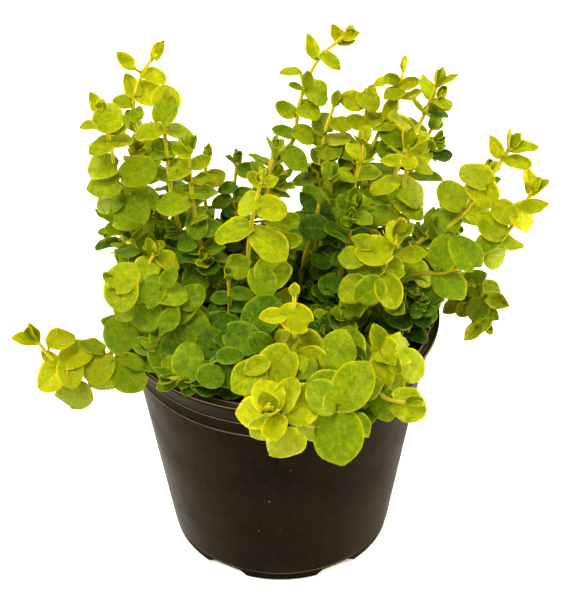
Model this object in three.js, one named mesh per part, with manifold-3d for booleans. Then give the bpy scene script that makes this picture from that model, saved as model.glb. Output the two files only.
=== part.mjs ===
// Golden creeping jenny (Lysimachia nummularia 'Aurea') in a round black nursery pot.
// Millimetres, +Z up. The origin is the centre of the pot's base, on the surface that it stands on, and -Y is
// the front. Every shoot is one piece, as it grew: a stem rooted in the potting mix, with its leaves in
// opposite pairs.

import * as THREE from "three";
import { mergeVertices } from "three/addons/utils/BufferGeometryUtils.js";
import Module from "manifold-3d";

const wasm = await Module();
wasm.setup();

// ---- Driving dimensions ----

const RIM_RADIUS = 65;
const POT_HEIGHT = 107;
const SHOULDER_RADIUS = 60.7; // the wall at the upper bead, where the flared rim band starts
const BASE_RADIUS = 47; // the wall where it meets the foot
const FOOT_INSET = 0.8; // how far the foot stands back under the wall
const FOOT_HEIGHT = 5;
const WALL = 1.2;
const FLOOR = 1.5;
const RIM_WIDTH = 3.6; // across the flat top of the rim
const RIM_DEPTH = 5; // from the top of the rim down to where the band is thinner
const BEAD_DROPS = [17, 10.5]; // how far the two moulded beads lie under the rim
const BEAD = 0.45; // how far a bead stands proud, and half its height
const ROUND_SEGMENTS = 32;

const NOTCH_COUNT = 6; // drain openings through the corner of the base
const NOTCH_WIDTH = 20;
const NOTCH_HEIGHT = 4.8;
const NOTCH_REACH = [39, 54]; // from under the floor to outside the foot
const NOTCH_SEGMENTS = 16;

const SOIL_EDGE = 94; // level of the potting mix at the wall
const SOIL_CROWN = 97; // and in the middle
const CLEARANCE = 0.3; // between pieces that touch

// A chip of bark that lies on the mix.
const CHIP = { at: [-29.5, 28.5], length: 11, width: 5, thickness: 1.8, turn: 2.2 };

const STEM_RADIUS = 1.05;
const STEM_SIDES = 4;
const STEM_STEP = 14; // length of one straight stretch of stem
const ROOTED = 8; // how deep a stem goes into the mix
const BARE = 12; // lowest stretch of a stem above the mix, without leaves
const SET_BARE = 5; // the same for leaves that hold a place of their own

const LEAF_THICKNESS = 0.8;
const PETIOLE_SHARE = 0.2; // of the blade's length
const BLADE_WIDTH_SHARE = 0.94;
const BASE_WIDENING = 0.15; // how much wider than round a blade is towards its base, and narrower to its tip
const DISH_SHARE = 0.08; // how far its sides stand up, of its length
const SMALL_BLADE = 12; // a blade shorter than this has fewer corners

// ---- The plant's habit ----

// For the leaf pairs counted back from the tip: the stretch of stem behind each and its blades, as shares of
// the shoot's full size, and the angle in degrees by which its blades rise from square to the stem.
const PAIR_GAPS = [0.35, 0.7, 0.9, 1];
const PAIR_BLADES = [0.4, 0.6, 0.8, 0.93, 1];
const PAIR_RISES = [62, 42, 28, 18, 10, 4];
const TIP_PAIRS = 3; // the youngest pairs, which may still press together
const LIGHT = new THREE.Vector3(0, -0.75, 1).normalize(); // where the blades turn their faces
const UP = new THREE.Vector3(0, 0, 1);

// How far leaves differ from the rule, from end to end: share of the size, and degrees of turn and rise.
const SIZE_CHANCE = 0.22;
const TURN_CHANCE = 34;
const RISE_CHANCE = 22;

const FIRST_SEED = 1000; // of the run of numbers that sets them for the first shoot
const SEED_STEP = 77;

// More turn about the stem and more rise, in degrees, and share of the size: what a leaf tries in order, to
// grow clear of its neighbours. A leaf that finds no room is left out.
const TRIES = [
  [0, 0, 1],
  [24, 0, 1],
  [-24, 0, 1],
  [0, 20, 0.95],
  [0, -20, 0.95],
  [38, 10, 0.85],
  [-38, 10, 0.85],
  [0, 0, 0.7],
  [25, 30, 0.65],
  [-25, 30, 0.65],
];

// A leaf that holds a place of its own: the shares of its size that it tries, and the number that it counts
// as its pair, so that it keeps clear of all others.
const SET_SHARES = [1, 0.88, 0.76, 0.65];
const FIRST_SET_PAIR = 100;

// Each named shoot: where it is rooted, the stretch between its leaf pairs, its largest blade, how far from 0
// to 1 its blades turn to the light, how many leaf pairs it carries, and the points it passes to its tip.
const SHOOTS = [
  ["left_back_tall", [-36, 24], 11, 12, 0.3, 6,
    [[-52, 24, 143], [-54, 26, 167], [-57, 30, 183], [-53, 33, 197], [-47, 36, 205]]],
  ["left_outer", [-44, 10], 11, 15, 0.35, 2, [[-58, 8, 139], [-62, 8, 158], [-64, 8, 178], [-66, 6, 196]]],
  ["left_mid_tall", [-30, 14], 11, 13, 0.3, 2,
    [[-41, 14, 144], [-43, 16, 162], [-44, 18, 181], [-43, 20, 193]]],
  ["left_inner", [-24, 2], 11, 12, 0.35, 4, [[-30, 2, 133], [-33, 4, 153], [-34, 6, 168], [-34, 8, 179]]],
  ["left_back_slim", [-22, 30], 11, 10, 0.3, 4, [[-30, 32, 137], [-29, 36, 158]]],
  ["back_left_small", [-10, 36], 11, 11, 0.3, 4, [[-18, 39, 133], [-17, 42, 152]]],
  ["centre_front_tall", [0, -14], 12, 16, 0.45, 2,
    [[-3, -16, 127], [-11, -18, 141], [-10, -18, 160], [-6, -20, 181]]],
  ["back_tallest", [-6, 26], 12, 13, 0.3, 7,
    [[-3, 34, 152], [6, 40, 163], [9, 44, 179], [16, 48, 195], [27, 52, 204]]],
  ["back_centre", [10, 34], 11, 12, 0.3, 4, [[18, 42, 157], [23, 48, 176]]],
  ["back_right_tall", [18, 36], 11, 13, 0.3, 5, [[38, 44, 156], [47, 50, 170], [51, 56, 186]]],
  ["back_right_mid", [24, 32], 11, 13, 0.3, 5, [[31, 38, 140], [34, 44, 162], [37, 48, 178]]],
  ["back_right_outer", [30, 28], 11, 13, 0.3, 2, [[49, 34, 155], [57, 38, 171], [64, 42, 188]]],
  ["right_upright", [28, 10], 11, 14, 0.35, 2, [[46, 9, 143], [49, 8, 159], [51, 8, 180]]],
  ["right_long", [32, 2], 12, 15, 0.4, 2,
    [[54, 2, 136], [67, 2, 145], [78, 4, 159], [85, 6, 170], [90, 7, 179]]],
  ["right_far", [26, -10], 13, 15, 0.4, 2,
    [[49, -12, 129], [65, -11, 133], [80, -8, 138], [91, -6, 151], [98, -4, 166]]],
  ["right_trailer", [47, 8], 9, 13, 0.6, 1, [[60, 9, 112], [70, 10, 116], [80, 10, 110], [85, 6, 96]]],
  ["front_upright", [4, -36], 13, 15, 0.35, 2, [[5, -50, 117], [6, -56, 138], [6, -60, 157]]],
  ["front_trailer", [24, -32], 11, 18, 0.55, 3,
    [[24, -54, 117], [24, -73, 116], [15, -80, 112], [3, -82, 119], [-3, -89, 127]]],
  ["front_right_rosette", [34, -28], 8, 15, 0.5, 2, [[40, -44, 111], [41, -49, 120], [39, -56, 129]]],
  ["front_right_runner", [27, -41], 10, 15, 0.6, 1,
    [[29, -50, 112], [34, -61, 115], [41, -67, 114], [47, -69, 114]]],
  ["centre_right_rosette", [12, -20], 10, 15, 0.45, 2,
    [[26, -24, 120], [35, -26, 129], [40, -28, 146], [45, -28, 162]]],
  ["left_front_runner", [-30, -16], 12, 17, 0.55, 2,
    [[-38, -28, 122], [-46, -32, 132], [-55, -34, 138], [-62, -36, 146]]],
  ["left_trailer", [-42, -6], 11, 16, 0.6, 2,
    [[-51, -20, 115], [-61, -30, 114], [-72, -38, 107], [-83, -40, 108], [-93, -40, 123]]],
  ["left_rosette", [-46, -4], 9, 12, 0.4, 4, [[-51, -12, 130], [-48, -14, 145]]],
  ["left_front_small", [-22, -22], 9, 9, 0.35, 4, [[-19, -26, 125], [-19, -28, 143]]],
  ["centre_dark", [6, 0], 11, 13, 0.35, 4, [[10, 0, 131], [14, 0, 145], [16, 0, 158]]],
  ["centre_back_rosette", [14, 14], 11, 11, 0.35, 4, [[31, 17, 160], [33, 18, 176]]],
  ["centre_rosette", [6, 12], 10, 13, 0.35, 4, [[19, 9, 148], [21, 8, 165]]],
  ["centre_right_small", [18, -4], 10, 11, 0.35, 4, [[27, -4, 141], [29, -6, 162]]],
  ["front_left_spread", [-34, -30], 8, 14, 0.65, 1, [[-42, -38, 112], [-49, -44, 121]]],
  ["front_left_low", [-22, -40], 8, 13, 0.65, 1, [[-27, -47, 112], [-25, -54, 123]]],
  ["front_left_round", [-10, -32], 9, 16, 0.6, 1, [[-14, -42, 116], [-13, -47, 134]]],
  ["front_left_rim", [-30, -44], 8, 11, 0.6, 1, [[-33, -51, 112], [-37, -57, 117], [-41, -60, 119]]],
  ["right_inner", [46, -16], 8, 12, 0.6, 1, [[52, -19, 114], [55, -22, 127]]],
  ["front_low", [8, -46], 8, 15, 0.65, 1, [[10, -53, 112], [18, -61, 119]]],
  ["back_upright", [0, 44], 11, 13, 0.3, 5, [[-4, 52, 118], [-5, 60, 132], [-2, 66, 144]]],
  ["back_trailer", [14, 48], 11, 14, 0.6, 4, [[16, 58, 114], [19, 72, 118], [20, 86, 111], [20, 98, 97]]],
  ["back_right_spread", [36, 38], 11, 14, 0.5, 4, [[40, 44, 116], [55, 62, 132], [66, 74, 150]]],
  ["back_left_spread", [-26, 42], 11, 14, 0.5, 4, [[-38, 54, 117], [-50, 70, 130], [-60, 80, 146]]],
  ["left_back_trailer", [-48, 18], 11, 14, 0.6, 4,
    [[-55, 26, 113], [-62, 34, 117], [-66, 43, 113], [-70, 52, 118]]],
  ["right_back_spread", [46, 22], 11, 13, 0.5, 4, [[58, 28, 115], [74, 39, 126], [86, 46, 144]]],
];

// Single leaves that hold a place of their own, by shoot: the middle of the blade, its length, and how far
// its face looks to the right and up from the front, in degrees.
const SET_LEAVES = {
  left_outer: [
    [-68, 7, 199, 7, -30, 40],
    [-63, 3, 195, 12, 0, 18],
    [-60, 8, 188, 9, 15, 55],
    [-71, 6, 189, 8, -20, 82],
    [-67, 5, 182, 11, -10, 82],
    [-60, 7, 182, 9, 10, 78],
    [-69, 7, 172, 13, -10, 66],
    [-68, 4, 165, 13, -5, 30],
    [-68, 7, 157, 14, -10, 45],
    [-54, 7, 169, 14, 10, 26],
    [-58, 4, 152, 15, 5, 40],
    [-52, 8, 156, 12, 15, 40],
    [-65, 8, 142, 8, -10, 30],
  ],
  left_mid_tall: [
    [-43, 22, 193, 12, 0, 35],
    [-43, 16, 191, 11, 0, 12],
    [-50, 17, 181, 11, -15, 78],
    [-38, 18, 181, 11, 15, 84],
    [-46, 15, 170, 9, -10, 85],
    [-45, 20, 171, 11, 0, 60],
    [-38, 16, 166, 9, 10, 80],
    [-46, 17, 160, 9, -10, 78],
    [-37, 15, 154, 10, 10, 60],
  ],
  centre_front_tall: [
    [-8, -19, 181, 7, -20, 30],
    [-3, -19, 180, 6, 25, 30],
    [-12, -20, 172, 11, -10, 55],
    [-2, -21, 169, 11, 15, 50],
    [-17, -20, 159, 14, -10, 84],
    [-3, -23, 155, 16, 25, 72],
    [-16, -20, 142, 11, -10, 30],
    [-1, -21, 142, 15, 10, 28],
    [-6, -26, 139, 13, 20, 66],
    [4, -15, 161, 7, 20, 30],
    [4, -16, 151, 9, 10, 45],
  ],
  back_right_outer: [
    [56, 44, 193, 8, -35, 15],
    [62, 42, 192, 7, 30, 50],
    [58, 40, 187, 8, -5, 40],
    [65, 40, 187, 8, 15, 20],
    [67, 40, 182, 8, 10, 75],
    [53, 38, 178, 11, -15, 55],
    [60, 36, 178, 11, 10, 60],
    [52, 36, 171, 10, -15, 50],
    [61, 35, 167, 11, 20, 66],
    [54, 33, 162, 10, 0, 45],
  ],
  right_upright: [
    [54, 9, 178, 9, 35, 15],
    [45, 7, 172, 9, -10, 80],
    [57, 8, 171, 10, 10, 68],
    [51, 4, 172, 8, 0, 50],
    [41, 7, 163, 12, -5, 82],
    [54, 6, 159, 14, 15, 58],
    [52, 5, 153, 12, 10, 76],
    [39, 6, 148, 12, -10, 60],
    [47, 4, 147, 9, 0, 75],
  ],
  right_long: [
    [85, 8, 178, 8, -50, 20],
    [93, 4, 173, 10, 10, 80],
    [77, 6, 167, 14, -10, 72],
    [80, 1, 163, 13, 10, 62],
    [68, 5, 158, 13, -15, 50],
    [66, 3, 149, 12, -10, 40],
    [79, 4, 151, 11, 10, 40],
    [67, -1, 145, 12, -5, 80],
  ],
  right_far: [
    [98, -7, 161, 9, 10, 20],
    [97, -7, 156, 13, 15, 55],
    [87, -6, 158, 11, -10, 40],
    [83, -6, 151, 12, -10, 45],
    [81, -9, 145, 10, -5, 85],
    [91, -6, 143, 10, 5, 85],
    [87, -8, 137, 12, 10, 8],
    [72, -14, 144, 15, 20, 60],
    [64, -11, 142, 13, 0, 30],
    [54, -11, 133, 13, -5, 82],
    [67, -15, 130, 14, 15, 70],
  ],
  right_trailer: [
    [80, 10, 115, 9, 0, 55],
    [79, 8, 112, 10, -10, 40],
    [86, 8, 111, 10, 15, 40],
    [77, 9, 108, 9, -15, 40],
    [88, 5, 107, 9, 30, 35],
    [71, 6, 104, 8, -25, 35],
    [76, 5, 104, 9, -5, 30],
    [81, 3, 105, 10, 0, 35],
    [86, 4, 102, 8, 20, 30],
    [83, 2, 99, 10, 5, 30],
    [79, 1, 95, 9, -10, 25],
  ],
  front_upright: [
    [6, -62, 148, 12, 12, 15],
    [-2, -60, 147, 9, -20, 72],
    [1, -56, 132, 13, -15, 35],
    [10, -56, 131, 13, 15, 38],
    [-1, -66, 129, 16, 10, 55],
    [-12, -66, 124, 14, -10, 50],
    [-8, -64, 128, 9, -5, 45],
    [14, -62, 127, 13, 10, 40],
    [-13, -64, 116, 11, -10, 25],
  ],
  front_trailer: [
    [-9, -84, 122, 15, -20, 30],
    [-6, -88, 117, 12, 0, 10],
    [-4, -84, 131, 13, -5, 45],
    [2, -91, 111, 15, 10, 8],
    [9, -85, 127, 16, -10, 30],
    [16, -80, 126, 14, 30, 30],
    [27, -76, 128, 18, 0, 28],
    [22, -83, 109, 19, 0, 26],
    [30, -78, 111, 9, 30, 20],
    [11, -78, 108, 11, -10, 15],
  ],
  front_right_rosette: [
    [38, -57, 130, 11, -15, 45],
    [47, -54, 128, 13, 25, 40],
    [51, -56, 121, 13, 15, 50],
    [43, -59, 124, 8, 10, 50],
    [38, -60, 121, 12, -10, 55],
    [43, -57, 112, 11, 5, 20],
  ],
  front_right_runner: [
    [49, -68, 112, 14, 15, 50],
    [40, -69, 114, 12, 5, 75],
    [32, -68, 110, 12, -5, 84],
  ],
  centre_right_rosette: [
    [51, -26, 151, 9, 15, 40],
    [36, -32, 157, 13, -10, 50],
    [32, -29, 159, 8, -20, 40],
    [27, -30, 153, 10, -15, 40],
    [35, -31, 148, 9, -10, 50],
    [43, -29, 147, 10, 15, 60],
    [34, -37, 142, 12, -12, 32],
    [42, -36, 141, 13, 12, 32],
    [27, -32, 140, 12, -20, 40],
    [44, -34, 133, 9, 15, 45],
    [28, -26, 128, 10, -10, 50],
    [24, -26, 124, 8, -10, 80],
  ],
  left_front_runner: [
    [-59, -38, 144, 15, -10, 48],
    [-58, -35, 149, 13, -5, 60],
    [-59, -36, 133, 11, -10, 25],
    [-51, -38, 132, 14, 0, 55],
    [-48, -35, 142, 12, -5, 50],
    [-40, -34, 141, 13, 10, 68],
    [-41, -32, 146, 8, 10, 50],
    [-38, -32, 132, 14, 0, 62],
    [-33, -31, 136, 11, 15, 60],
    [-33, -38, 126, 16, 0, 64],
    [-31, -33, 128, 12, 10, 50],
  ],
  left_trailer: [
    [-61, -34, 120, 14, -5, 35],
    [-58, -41, 106, 16, 5, 28],
    [-56, -36, 111, 13, 15, 50],
    [-70, -41, 110, 13, 0, 45],
    [-68, -41, 102, 13, 5, 20],
    [-78, -38, 115, 14, -15, 62],
    [-72, -36, 116, 9, 10, 60],
    [-88, -44, 108, 13, -15, 40],
    [-80, -45, 111, 12, 0, 60],
    [-80, -45, 97, 15, 5, 18],
    [-83, -38, 122, 11, 30, 65],
    [-88, -40, 114, 7, -10, 30],
  ],
  front_left_spread: [
    [-52, -38, 118, 9, -15, 40],
    [-45, -38, 123, 10, -5, 45],
    [-45, -46, 118, 11, -5, 45],
    [-39, -44, 123, 10, 5, 50],
    [-41, -40, 132, 9, 5, 60],
  ],
  front_left_low: [
    [-26, -46, 126, 13, 5, 48],
    [-20, -58, 118, 9, 0, 40],
    [-18, -57, 127, 9, 10, 50],
  ],
  front_left_round: [
    [-13, -50, 130, 14, -5, 36],
    [-6, -40, 134, 15, 5, 42],
    [-6, -54, 130, 10, 5, 38],
  ],
  front_left_rim: [
    [-34, -54, 123, 14, 0, 42],
    [-42, -59, 117, 8, -5, 15],
    [-25, -60, 120, 10, 15, 50],
    [-40, -52, 119, 9, -10, 40],
  ],
  right_inner: [
    [59, -15, 116, 10, 25, 45],
    [51, -19, 120, 9, 0, 50],
    [54, -12, 125, 9, 10, 50],
  ],
  front_low: [
    [23, -56, 130, 17, 5, 40],
    [8, -62, 126, 11, -20, 50],
  ],
  back_tallest: [
    [25, 54, 204, 9, -20, 15],
    [29, 52, 204, 6, 20, 30],
    [29, 51, 200, 6, 10, 70],
    [15, 50, 200, 9, -40, 35],
    [21, 46, 196, 9, 30, 55],
    [5, 46, 191, 8, -10, 80],
    [12, 42, 190, 7, 0, 15],
    [7, 45, 184, 6, -10, 75],
    [17, 44, 183, 12, 25, 45],
    [3, 43, 175, 9, -15, 60],
    [13, 42, 176, 10, 10, 62],
    [2, 40, 166, 9, -10, 75],
    [11, 38, 167, 10, 20, 50],
    [7, 34, 158, 11, 10, 50],
  ],
  back_right_tall: [
    [42, 52, 183, 6, -40, 55],
    [46, 52, 185, 7, -10, 20],
    [53, 52, 183, 8, 20, 25],
    [47, 49, 179, 9, -5, 75],
    [55, 51, 176, 9, 10, 78],
    [46, 47, 173, 9, -15, 35],
    [43, 46, 168, 12, -5, 72],
    [51, 47, 167, 10, 15, 60],
    [46, 40, 165, 10, -10, 60],
    [47, 41, 157, 12, 0, 38],
  ],
  back_centre: [
    [18, 46, 168, 10, -10, 40],
    [26, 44, 168, 9, 10, 50],
    [16, 44, 162, 9, -15, 50],
    [25, 45, 161, 10, 5, 85],
    [21, 40, 158, 10, 0, 50],
  ],
  back_right_mid: [
    [30, 48, 177, 10, -15, 35],
    [37, 46, 178, 10, 10, 55],
    [32, 44, 169, 9, -5, 40],
    [39, 46, 169, 9, 10, 60],
    [28, 42, 158, 10, -10, 50],
    [36, 40, 158, 10, 10, 45],
  ],
  left_back_tall: [
    [-47, 36, 206, 7, 20, 20],
    [-58, 35, 202, 8, -40, 40],
    [-48, 33, 197, 10, 10, 75],
    [-57, 33, 192, 9, -20, 35],
    [-50, 32, 190, 12, 10, 45],
    [-61, 31, 186, 8, -15, 50],
    [-57, 29, 184, 10, 5, 55],
  ],
  left_inner: [
    [-37, 7, 177, 8, -20, 55],
    [-30, 8, 172, 8, 20, 40],
    [-39, 6, 171, 11, -10, 70],
    [-37, 5, 165, 9, -5, 86],
    [-29, 6, 165, 9, 5, 86],
    [-29, 5, 160, 10, 15, 80],
    [-41, 2, 158, 13, -10, 60],
    [-33, 3, 152, 10, 0, 70],
    [-32, 1, 148, 10, 5, 85],
    [-27, 3, 145, 10, 15, 60],
    [-37, 3, 140, 10, -5, 40],
  ],
  left_back_slim: [
    [-26, 36, 148, 9, 10, 50],
    [-23, 34, 138, 8, 5, 45],
    [-33, 34, 144, 9, -15, 60],
  ],
  back_left_small: [
    [-12, 40, 149, 9, 10, 30],
    [-21, 37, 142, 8, -10, 60],
    [-14, 38, 138, 9, 10, 50],
  ],
  centre_dark: [
    [13, -5, 150, 12, -5, 20],
    [18, 3, 152, 11, 15, 20],
    [12, 4, 156, 8, -10, 40],
    [19, -2, 143, 7, 5, 84],
    [23, 3, 146, 9, 20, 40],
    [17, -4, 133, 8, 10, 40],
  ],
  left_rosette: [
    [-42, -14, 142, 10, 25, 60],
    [-51, -17, 140, 11, -15, 78],
    [-45, -15, 136, 10, 15, 45],
  ],
  left_front_small: [
    [-23, -27, 122, 8, -10, 60],
    [-15, -27, 128, 8, 10, 65],
    [-22, -28, 133, 7, -10, 50],
    [-14, -28, 135, 8, 20, 50],
  ],
};

// Low shoots between them, which close the middle of the crown: a sunflower spiral over the mix, of which
// those grow that have room.
const LOW_SPIRAL = { count: 16, turn: 0.9, reach: 50, height: 27, lean: 0.2 };
const LOW_SHOOT = { gap: 9, blade: 12, light: 0.55, pairs: 2 };
const STEM_ROOM = 3; // least distance between the middles of two stems
const GOLDEN_ANGLE = Math.PI * (3 - Math.sqrt(5));

// ---- Materials ----

const material = (color, roughness) => new THREE.MeshStandardMaterial({ color, roughness, metalness: 0 });
const BLACK_PLASTIC = material(0x2b2925, 0.55);
const POTTING_MIX = material(0x1d150f, 0.95);
const BARK = material(0x5a3d24, 0.9);
const LIME_FOLIAGE = material(0xa9b80f, 0.5);
const GREEN_FOLIAGE = material(0x4f8420, 0.55);

// ---- Solids ----

const radians = THREE.MathUtils.degToRad;
const vector = ([x, y, z]) => new THREE.Vector3(x, y, z);

// A closed geometry as a manifold-3d solid.
function solidFrom(geometry) {
  const bare = geometry.clone();
  bare.deleteAttribute("normal");
  bare.deleteAttribute("uv");
  const merged = mergeVertices(bare, 1e-4);
  const vertProperties = merged.attributes.position.array;
  const triVerts = new Uint32Array(merged.index.array);
  return new wasm.Manifold(new wasm.Mesh({ numProp: 3, vertProperties, triVerts }));
}

// A manifold-3d solid as a named mesh.
function meshFrom(solid, name, look) {
  const { vertProperties, triVerts } = solid.getMesh();
  const geometry = new THREE.BufferGeometry();
  geometry.setAttribute("position", new THREE.BufferAttribute(new Float32Array(vertProperties), 3));
  geometry.setIndex(new THREE.BufferAttribute(new Uint32Array(triVerts), 1));
  geometry.computeVertexNormals();
  const mesh = new THREE.Mesh(geometry, look);
  mesh.name = name;
  return mesh;
}

// A profile of [radius, height] points, from the axis round to the axis, turned about Z.
function turned(profile) {
  const points = profile.map(([radius, height]) => new THREE.Vector2(radius, height));
  return solidFrom(new THREE.LatheGeometry(points, ROUND_SEGMENTS).rotateX(Math.PI / 2));
}

// A regular section swept along a curve in even straight stretches.
function swept(curve, radius, steps) {
  const corners = Array.from({ length: STEM_SIDES }, (_, i) => {
    const angle = (i * 2 * Math.PI) / STEM_SIDES;
    return new THREE.Vector2(radius * Math.cos(angle), radius * Math.sin(angle));
  });
  return solidFrom(new THREE.ExtrudeGeometry(new THREE.Shape(corners), { steps, extrudePath: curve }));
}

// ---- Pot ----

// The plain wall's outer radius at a height.
function wallRadius(height) {
  const shoulder = POT_HEIGHT - BEAD_DROPS[1];
  const { mapLinear } = THREE.MathUtils;
  if (height > shoulder) return mapLinear(height, shoulder, POT_HEIGHT, SHOULDER_RADIUS, RIM_RADIUS);
  return mapLinear(height, FOOT_HEIGHT, shoulder, BASE_RADIUS, SHOULDER_RADIUS);
}

function makePot() {
  const footRadius = BASE_RADIUS - FOOT_INSET;
  const foot = [[0, 0], [footRadius, 0], [footRadius, FOOT_HEIGHT - FOOT_INSET], [BASE_RADIUS, FOOT_HEIGHT]];
  const beads = BEAD_DROPS.flatMap((drop) => {
    const middle = POT_HEIGHT - drop;
    return [-BEAD, 0, BEAD].map((up) => [wallRadius(middle + up) + BEAD - Math.abs(up), middle + up]);
  });
  const rimInner = RIM_RADIUS - RIM_WIDTH;
  const rim = [
    [RIM_RADIUS, POT_HEIGHT - WALL],
    [RIM_RADIUS - WALL / 2, POT_HEIGHT],
    [rimInner, POT_HEIGHT - WALL / 2],
    [rimInner - CLEARANCE, POT_HEIGHT - RIM_DEPTH],
  ];
  const shoulder = POT_HEIGHT - BEAD_DROPS[1];
  const inside = [[SHOULDER_RADIUS - WALL, shoulder], [footRadius - WALL, FLOOR], [0, FLOOR]];
  let pot = turned([...foot, ...beads, ...rim, ...inside]);

  // Each notch is cut by a round bar laid along a radius, sunk to leave an arch of its width and height.
  const [start, end] = NOTCH_REACH;
  const radius = (NOTCH_WIDTH ** 2 / 4 + NOTCH_HEIGHT ** 2) / (2 * NOTCH_HEIGHT);
  for (let i = 0; i < NOTCH_COUNT; i++) {
    const bar = new THREE.CylinderGeometry(radius, radius, end - start, NOTCH_SEGMENTS);
    bar.rotateZ(Math.PI / 2).translate((start + end) / 2, 0, NOTCH_HEIGHT - radius);
    bar.rotateZ((i * 2 * Math.PI) / NOTCH_COUNT);
    pot = pot.subtract(solidFrom(bar));
  }
  return pot;
}

// ---- Potting mix ----

// The mix lies against the wall with only the clearance between them.
const mixRadius = (height) => wallRadius(height) - WALL - CLEARANCE;

function soilHeight(x, y) {
  const share = Math.hypot(x, y) / mixRadius(SOIL_EDGE);
  return SOIL_CROWN - (SOIL_CROWN - SOIL_EDGE) * share * share;
}

function makeSoil(stems) {
  const bottom = FLOOR + CLEARANCE;
  const bottomRadius = BASE_RADIUS - FOOT_INSET - WALL - CLEARANCE;
  const mound = [1, 0.5, 0].map((share) => {
    const radius = share * mixRadius(SOIL_EDGE);
    return [radius, soilHeight(radius, 0)];
  });
  let soil = turned([[0, bottom], [bottomRadius, bottom], ...mound]);
  for (const stem of stems) soil = soil.subtract(stem.socket());
  return soil;
}

function makeChip() {
  const { length, width, thickness, turn } = CHIP;
  const [x, y] = CHIP.at;
  const outline = [[-0.5, -0.1], [-0.3, -0.45], [0.25, -0.5], [0.5, -0.15], [0.4, 0.4], [-0.1, 0.5]];
  const shape = new THREE.Shape(outline.map(([u, v]) => new THREE.Vector2(u * length, v * width)));
  const chip = new THREE.ExtrudeGeometry(shape, { depth: thickness, bevelEnabled: false });
  return solidFrom(chip.rotateZ(turn).translate(x, y, soilHeight(x, y) + 2 * CLEARANCE));
}

// ---- Shoots ----

// The same run of numbers from 0 to 1 each time, for the small differences between leaves.
function numberSource(seed) {
  let state = seed;
  return () => {
    state = (state * 16807) % 2147483647;
    return state / 2147483647;
  };
}

// A stem on its smooth curve, as straight stretches of even length.
class Stem {
  constructor([x, y], points) {
    const route = [[x, y, soilHeight(x, y) - ROOTED], ...points].map(vector);
    this.curve = new THREE.CatmullRomCurve3(route, false, "catmullrom", 0.5);
    this.length = this.curve.getLength();
    this.steps = Math.max(3, Math.round(this.length / STEM_STEP));
    this.points = this.curve.getSpacedPoints(this.steps);
  }

  // The place and direction at a distance from the rooted end.
  at(distance) {
    const stretches = (distance / this.length) * this.steps;
    const i = Math.min(Math.floor(stretches), this.steps - 1);
    const [from, to] = [this.points[i], this.points[i + 1]];
    return { place: from.clone().lerp(to, stretches - i), along: to.clone().sub(from).normalize() };
  }

  // The place and direction nearest to a point, above the bare stretch.
  nearest(point) {
    const nodes = [];
    for (let distance = ROOTED + SET_BARE; distance < this.length; distance++) nodes.push(this.at(distance));
    const away = ({ place }) => place.distanceTo(point);
    return nodes.reduce((best, node) => (away(node) < away(best) ? node : best));
  }

  solid() {
    return swept(this.curve, STEM_RADIUS, this.steps);
  }

  // The hole it fills in the mix, with room for any turn of one section against the other.
  socket() {
    const [end, next] = this.points;
    const radius = (STEM_RADIUS + CLEARANCE) / Math.cos(Math.PI / STEM_SIDES);
    const start = end.clone().lerp(next, -CLEARANCE / end.distanceTo(next));
    return swept(new THREE.LineCurve3(start, next), radius, 1);
  }

  hasRoomBeside(other) {
    const own = this.curve.getSpacedPoints(this.length / STEM_ROOM);
    const others = other.curve.getSpacedPoints(other.length / STEM_ROOM);
    return own.every((point) => others.every((place) => place.distanceTo(point) > STEM_ROOM));
  }
}

function allShoots() {
  const shoots = SHOOTS.map(([name, root, gap, blade, light, pairs, points]) => ({
    name: `shoot_${name}`,
    stem: new Stem(root, points),
    gap,
    blade,
    light,
    pairs,
    look: LIME_FOLIAGE,
  }));
  const { count, turn, reach, height, lean } = LOW_SPIRAL;
  for (let i = 0; i < count; i++) {
    const radius = Math.sqrt((i + 0.6) / count) * reach;
    const angle = i * GOLDEN_ANGLE + turn;
    const root = [radius * Math.cos(angle), radius * Math.sin(angle)];
    const points = [0.5, 1].map((share) => {
      const [x, y] = root.map((along) => along * (1 + lean * share * share));
      return [x, y, soilHeight(...root) + height * share];
    });
    const stem = new Stem(root, points);
    if (!shoots.every((shoot) => stem.hasRoomBeside(shoot.stem))) continue;
    const name = `shoot_low_${String(i + 1).padStart(2, "0")}`;
    shoots.push({ name, stem, ...LOW_SHOOT, look: GREEN_FOLIAGE });
  }
  return shoots;
}

// One leaf's own frame: where it leaves the stem, the way its blade points and the way its face looks.
function leafFrame({ place, along }, turn, rise, blade, light) {
  const side = new THREE.Vector3().crossVectors(along, UP);
  if (side.length() < 0.02) side.set(1, 0, 0);
  side.normalize();
  const over = new THREE.Vector3().crossVectors(side, along);
  const outward = side.multiplyScalar(Math.cos(turn)).addScaledVector(over, Math.sin(turn));
  const out = outward.clone().multiplyScalar(Math.cos(rise)).addScaledVector(along, Math.sin(rise));
  const face = along.clone().multiplyScalar(Math.cos(rise)).addScaledVector(outward, -Math.sin(rise));
  face.multiplyScalar(1 - light).addScaledVector(LIGHT, light);
  face.addScaledVector(out, -face.dot(out)).normalize();
  const centre = place.clone().addScaledVector(out, blade * (PETIOLE_SHARE + 0.5));
  return { place, centre, out, face, blade };
}

// The same for a leaf whose blade has its place, on the shortest way from its stem.
function setLeafFrame(stem, centre, yaw, pitch, blade) {
  const face = new THREE.Vector3(0, -Math.cos(pitch), Math.sin(pitch)).applyAxisAngle(UP, yaw);
  const { place } = stem.nearest(centre);
  const out = centre.clone().sub(place);
  out.addScaledVector(face, -out.dot(face)).normalize();
  return { place, centre, out, face, blade };
}

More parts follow.
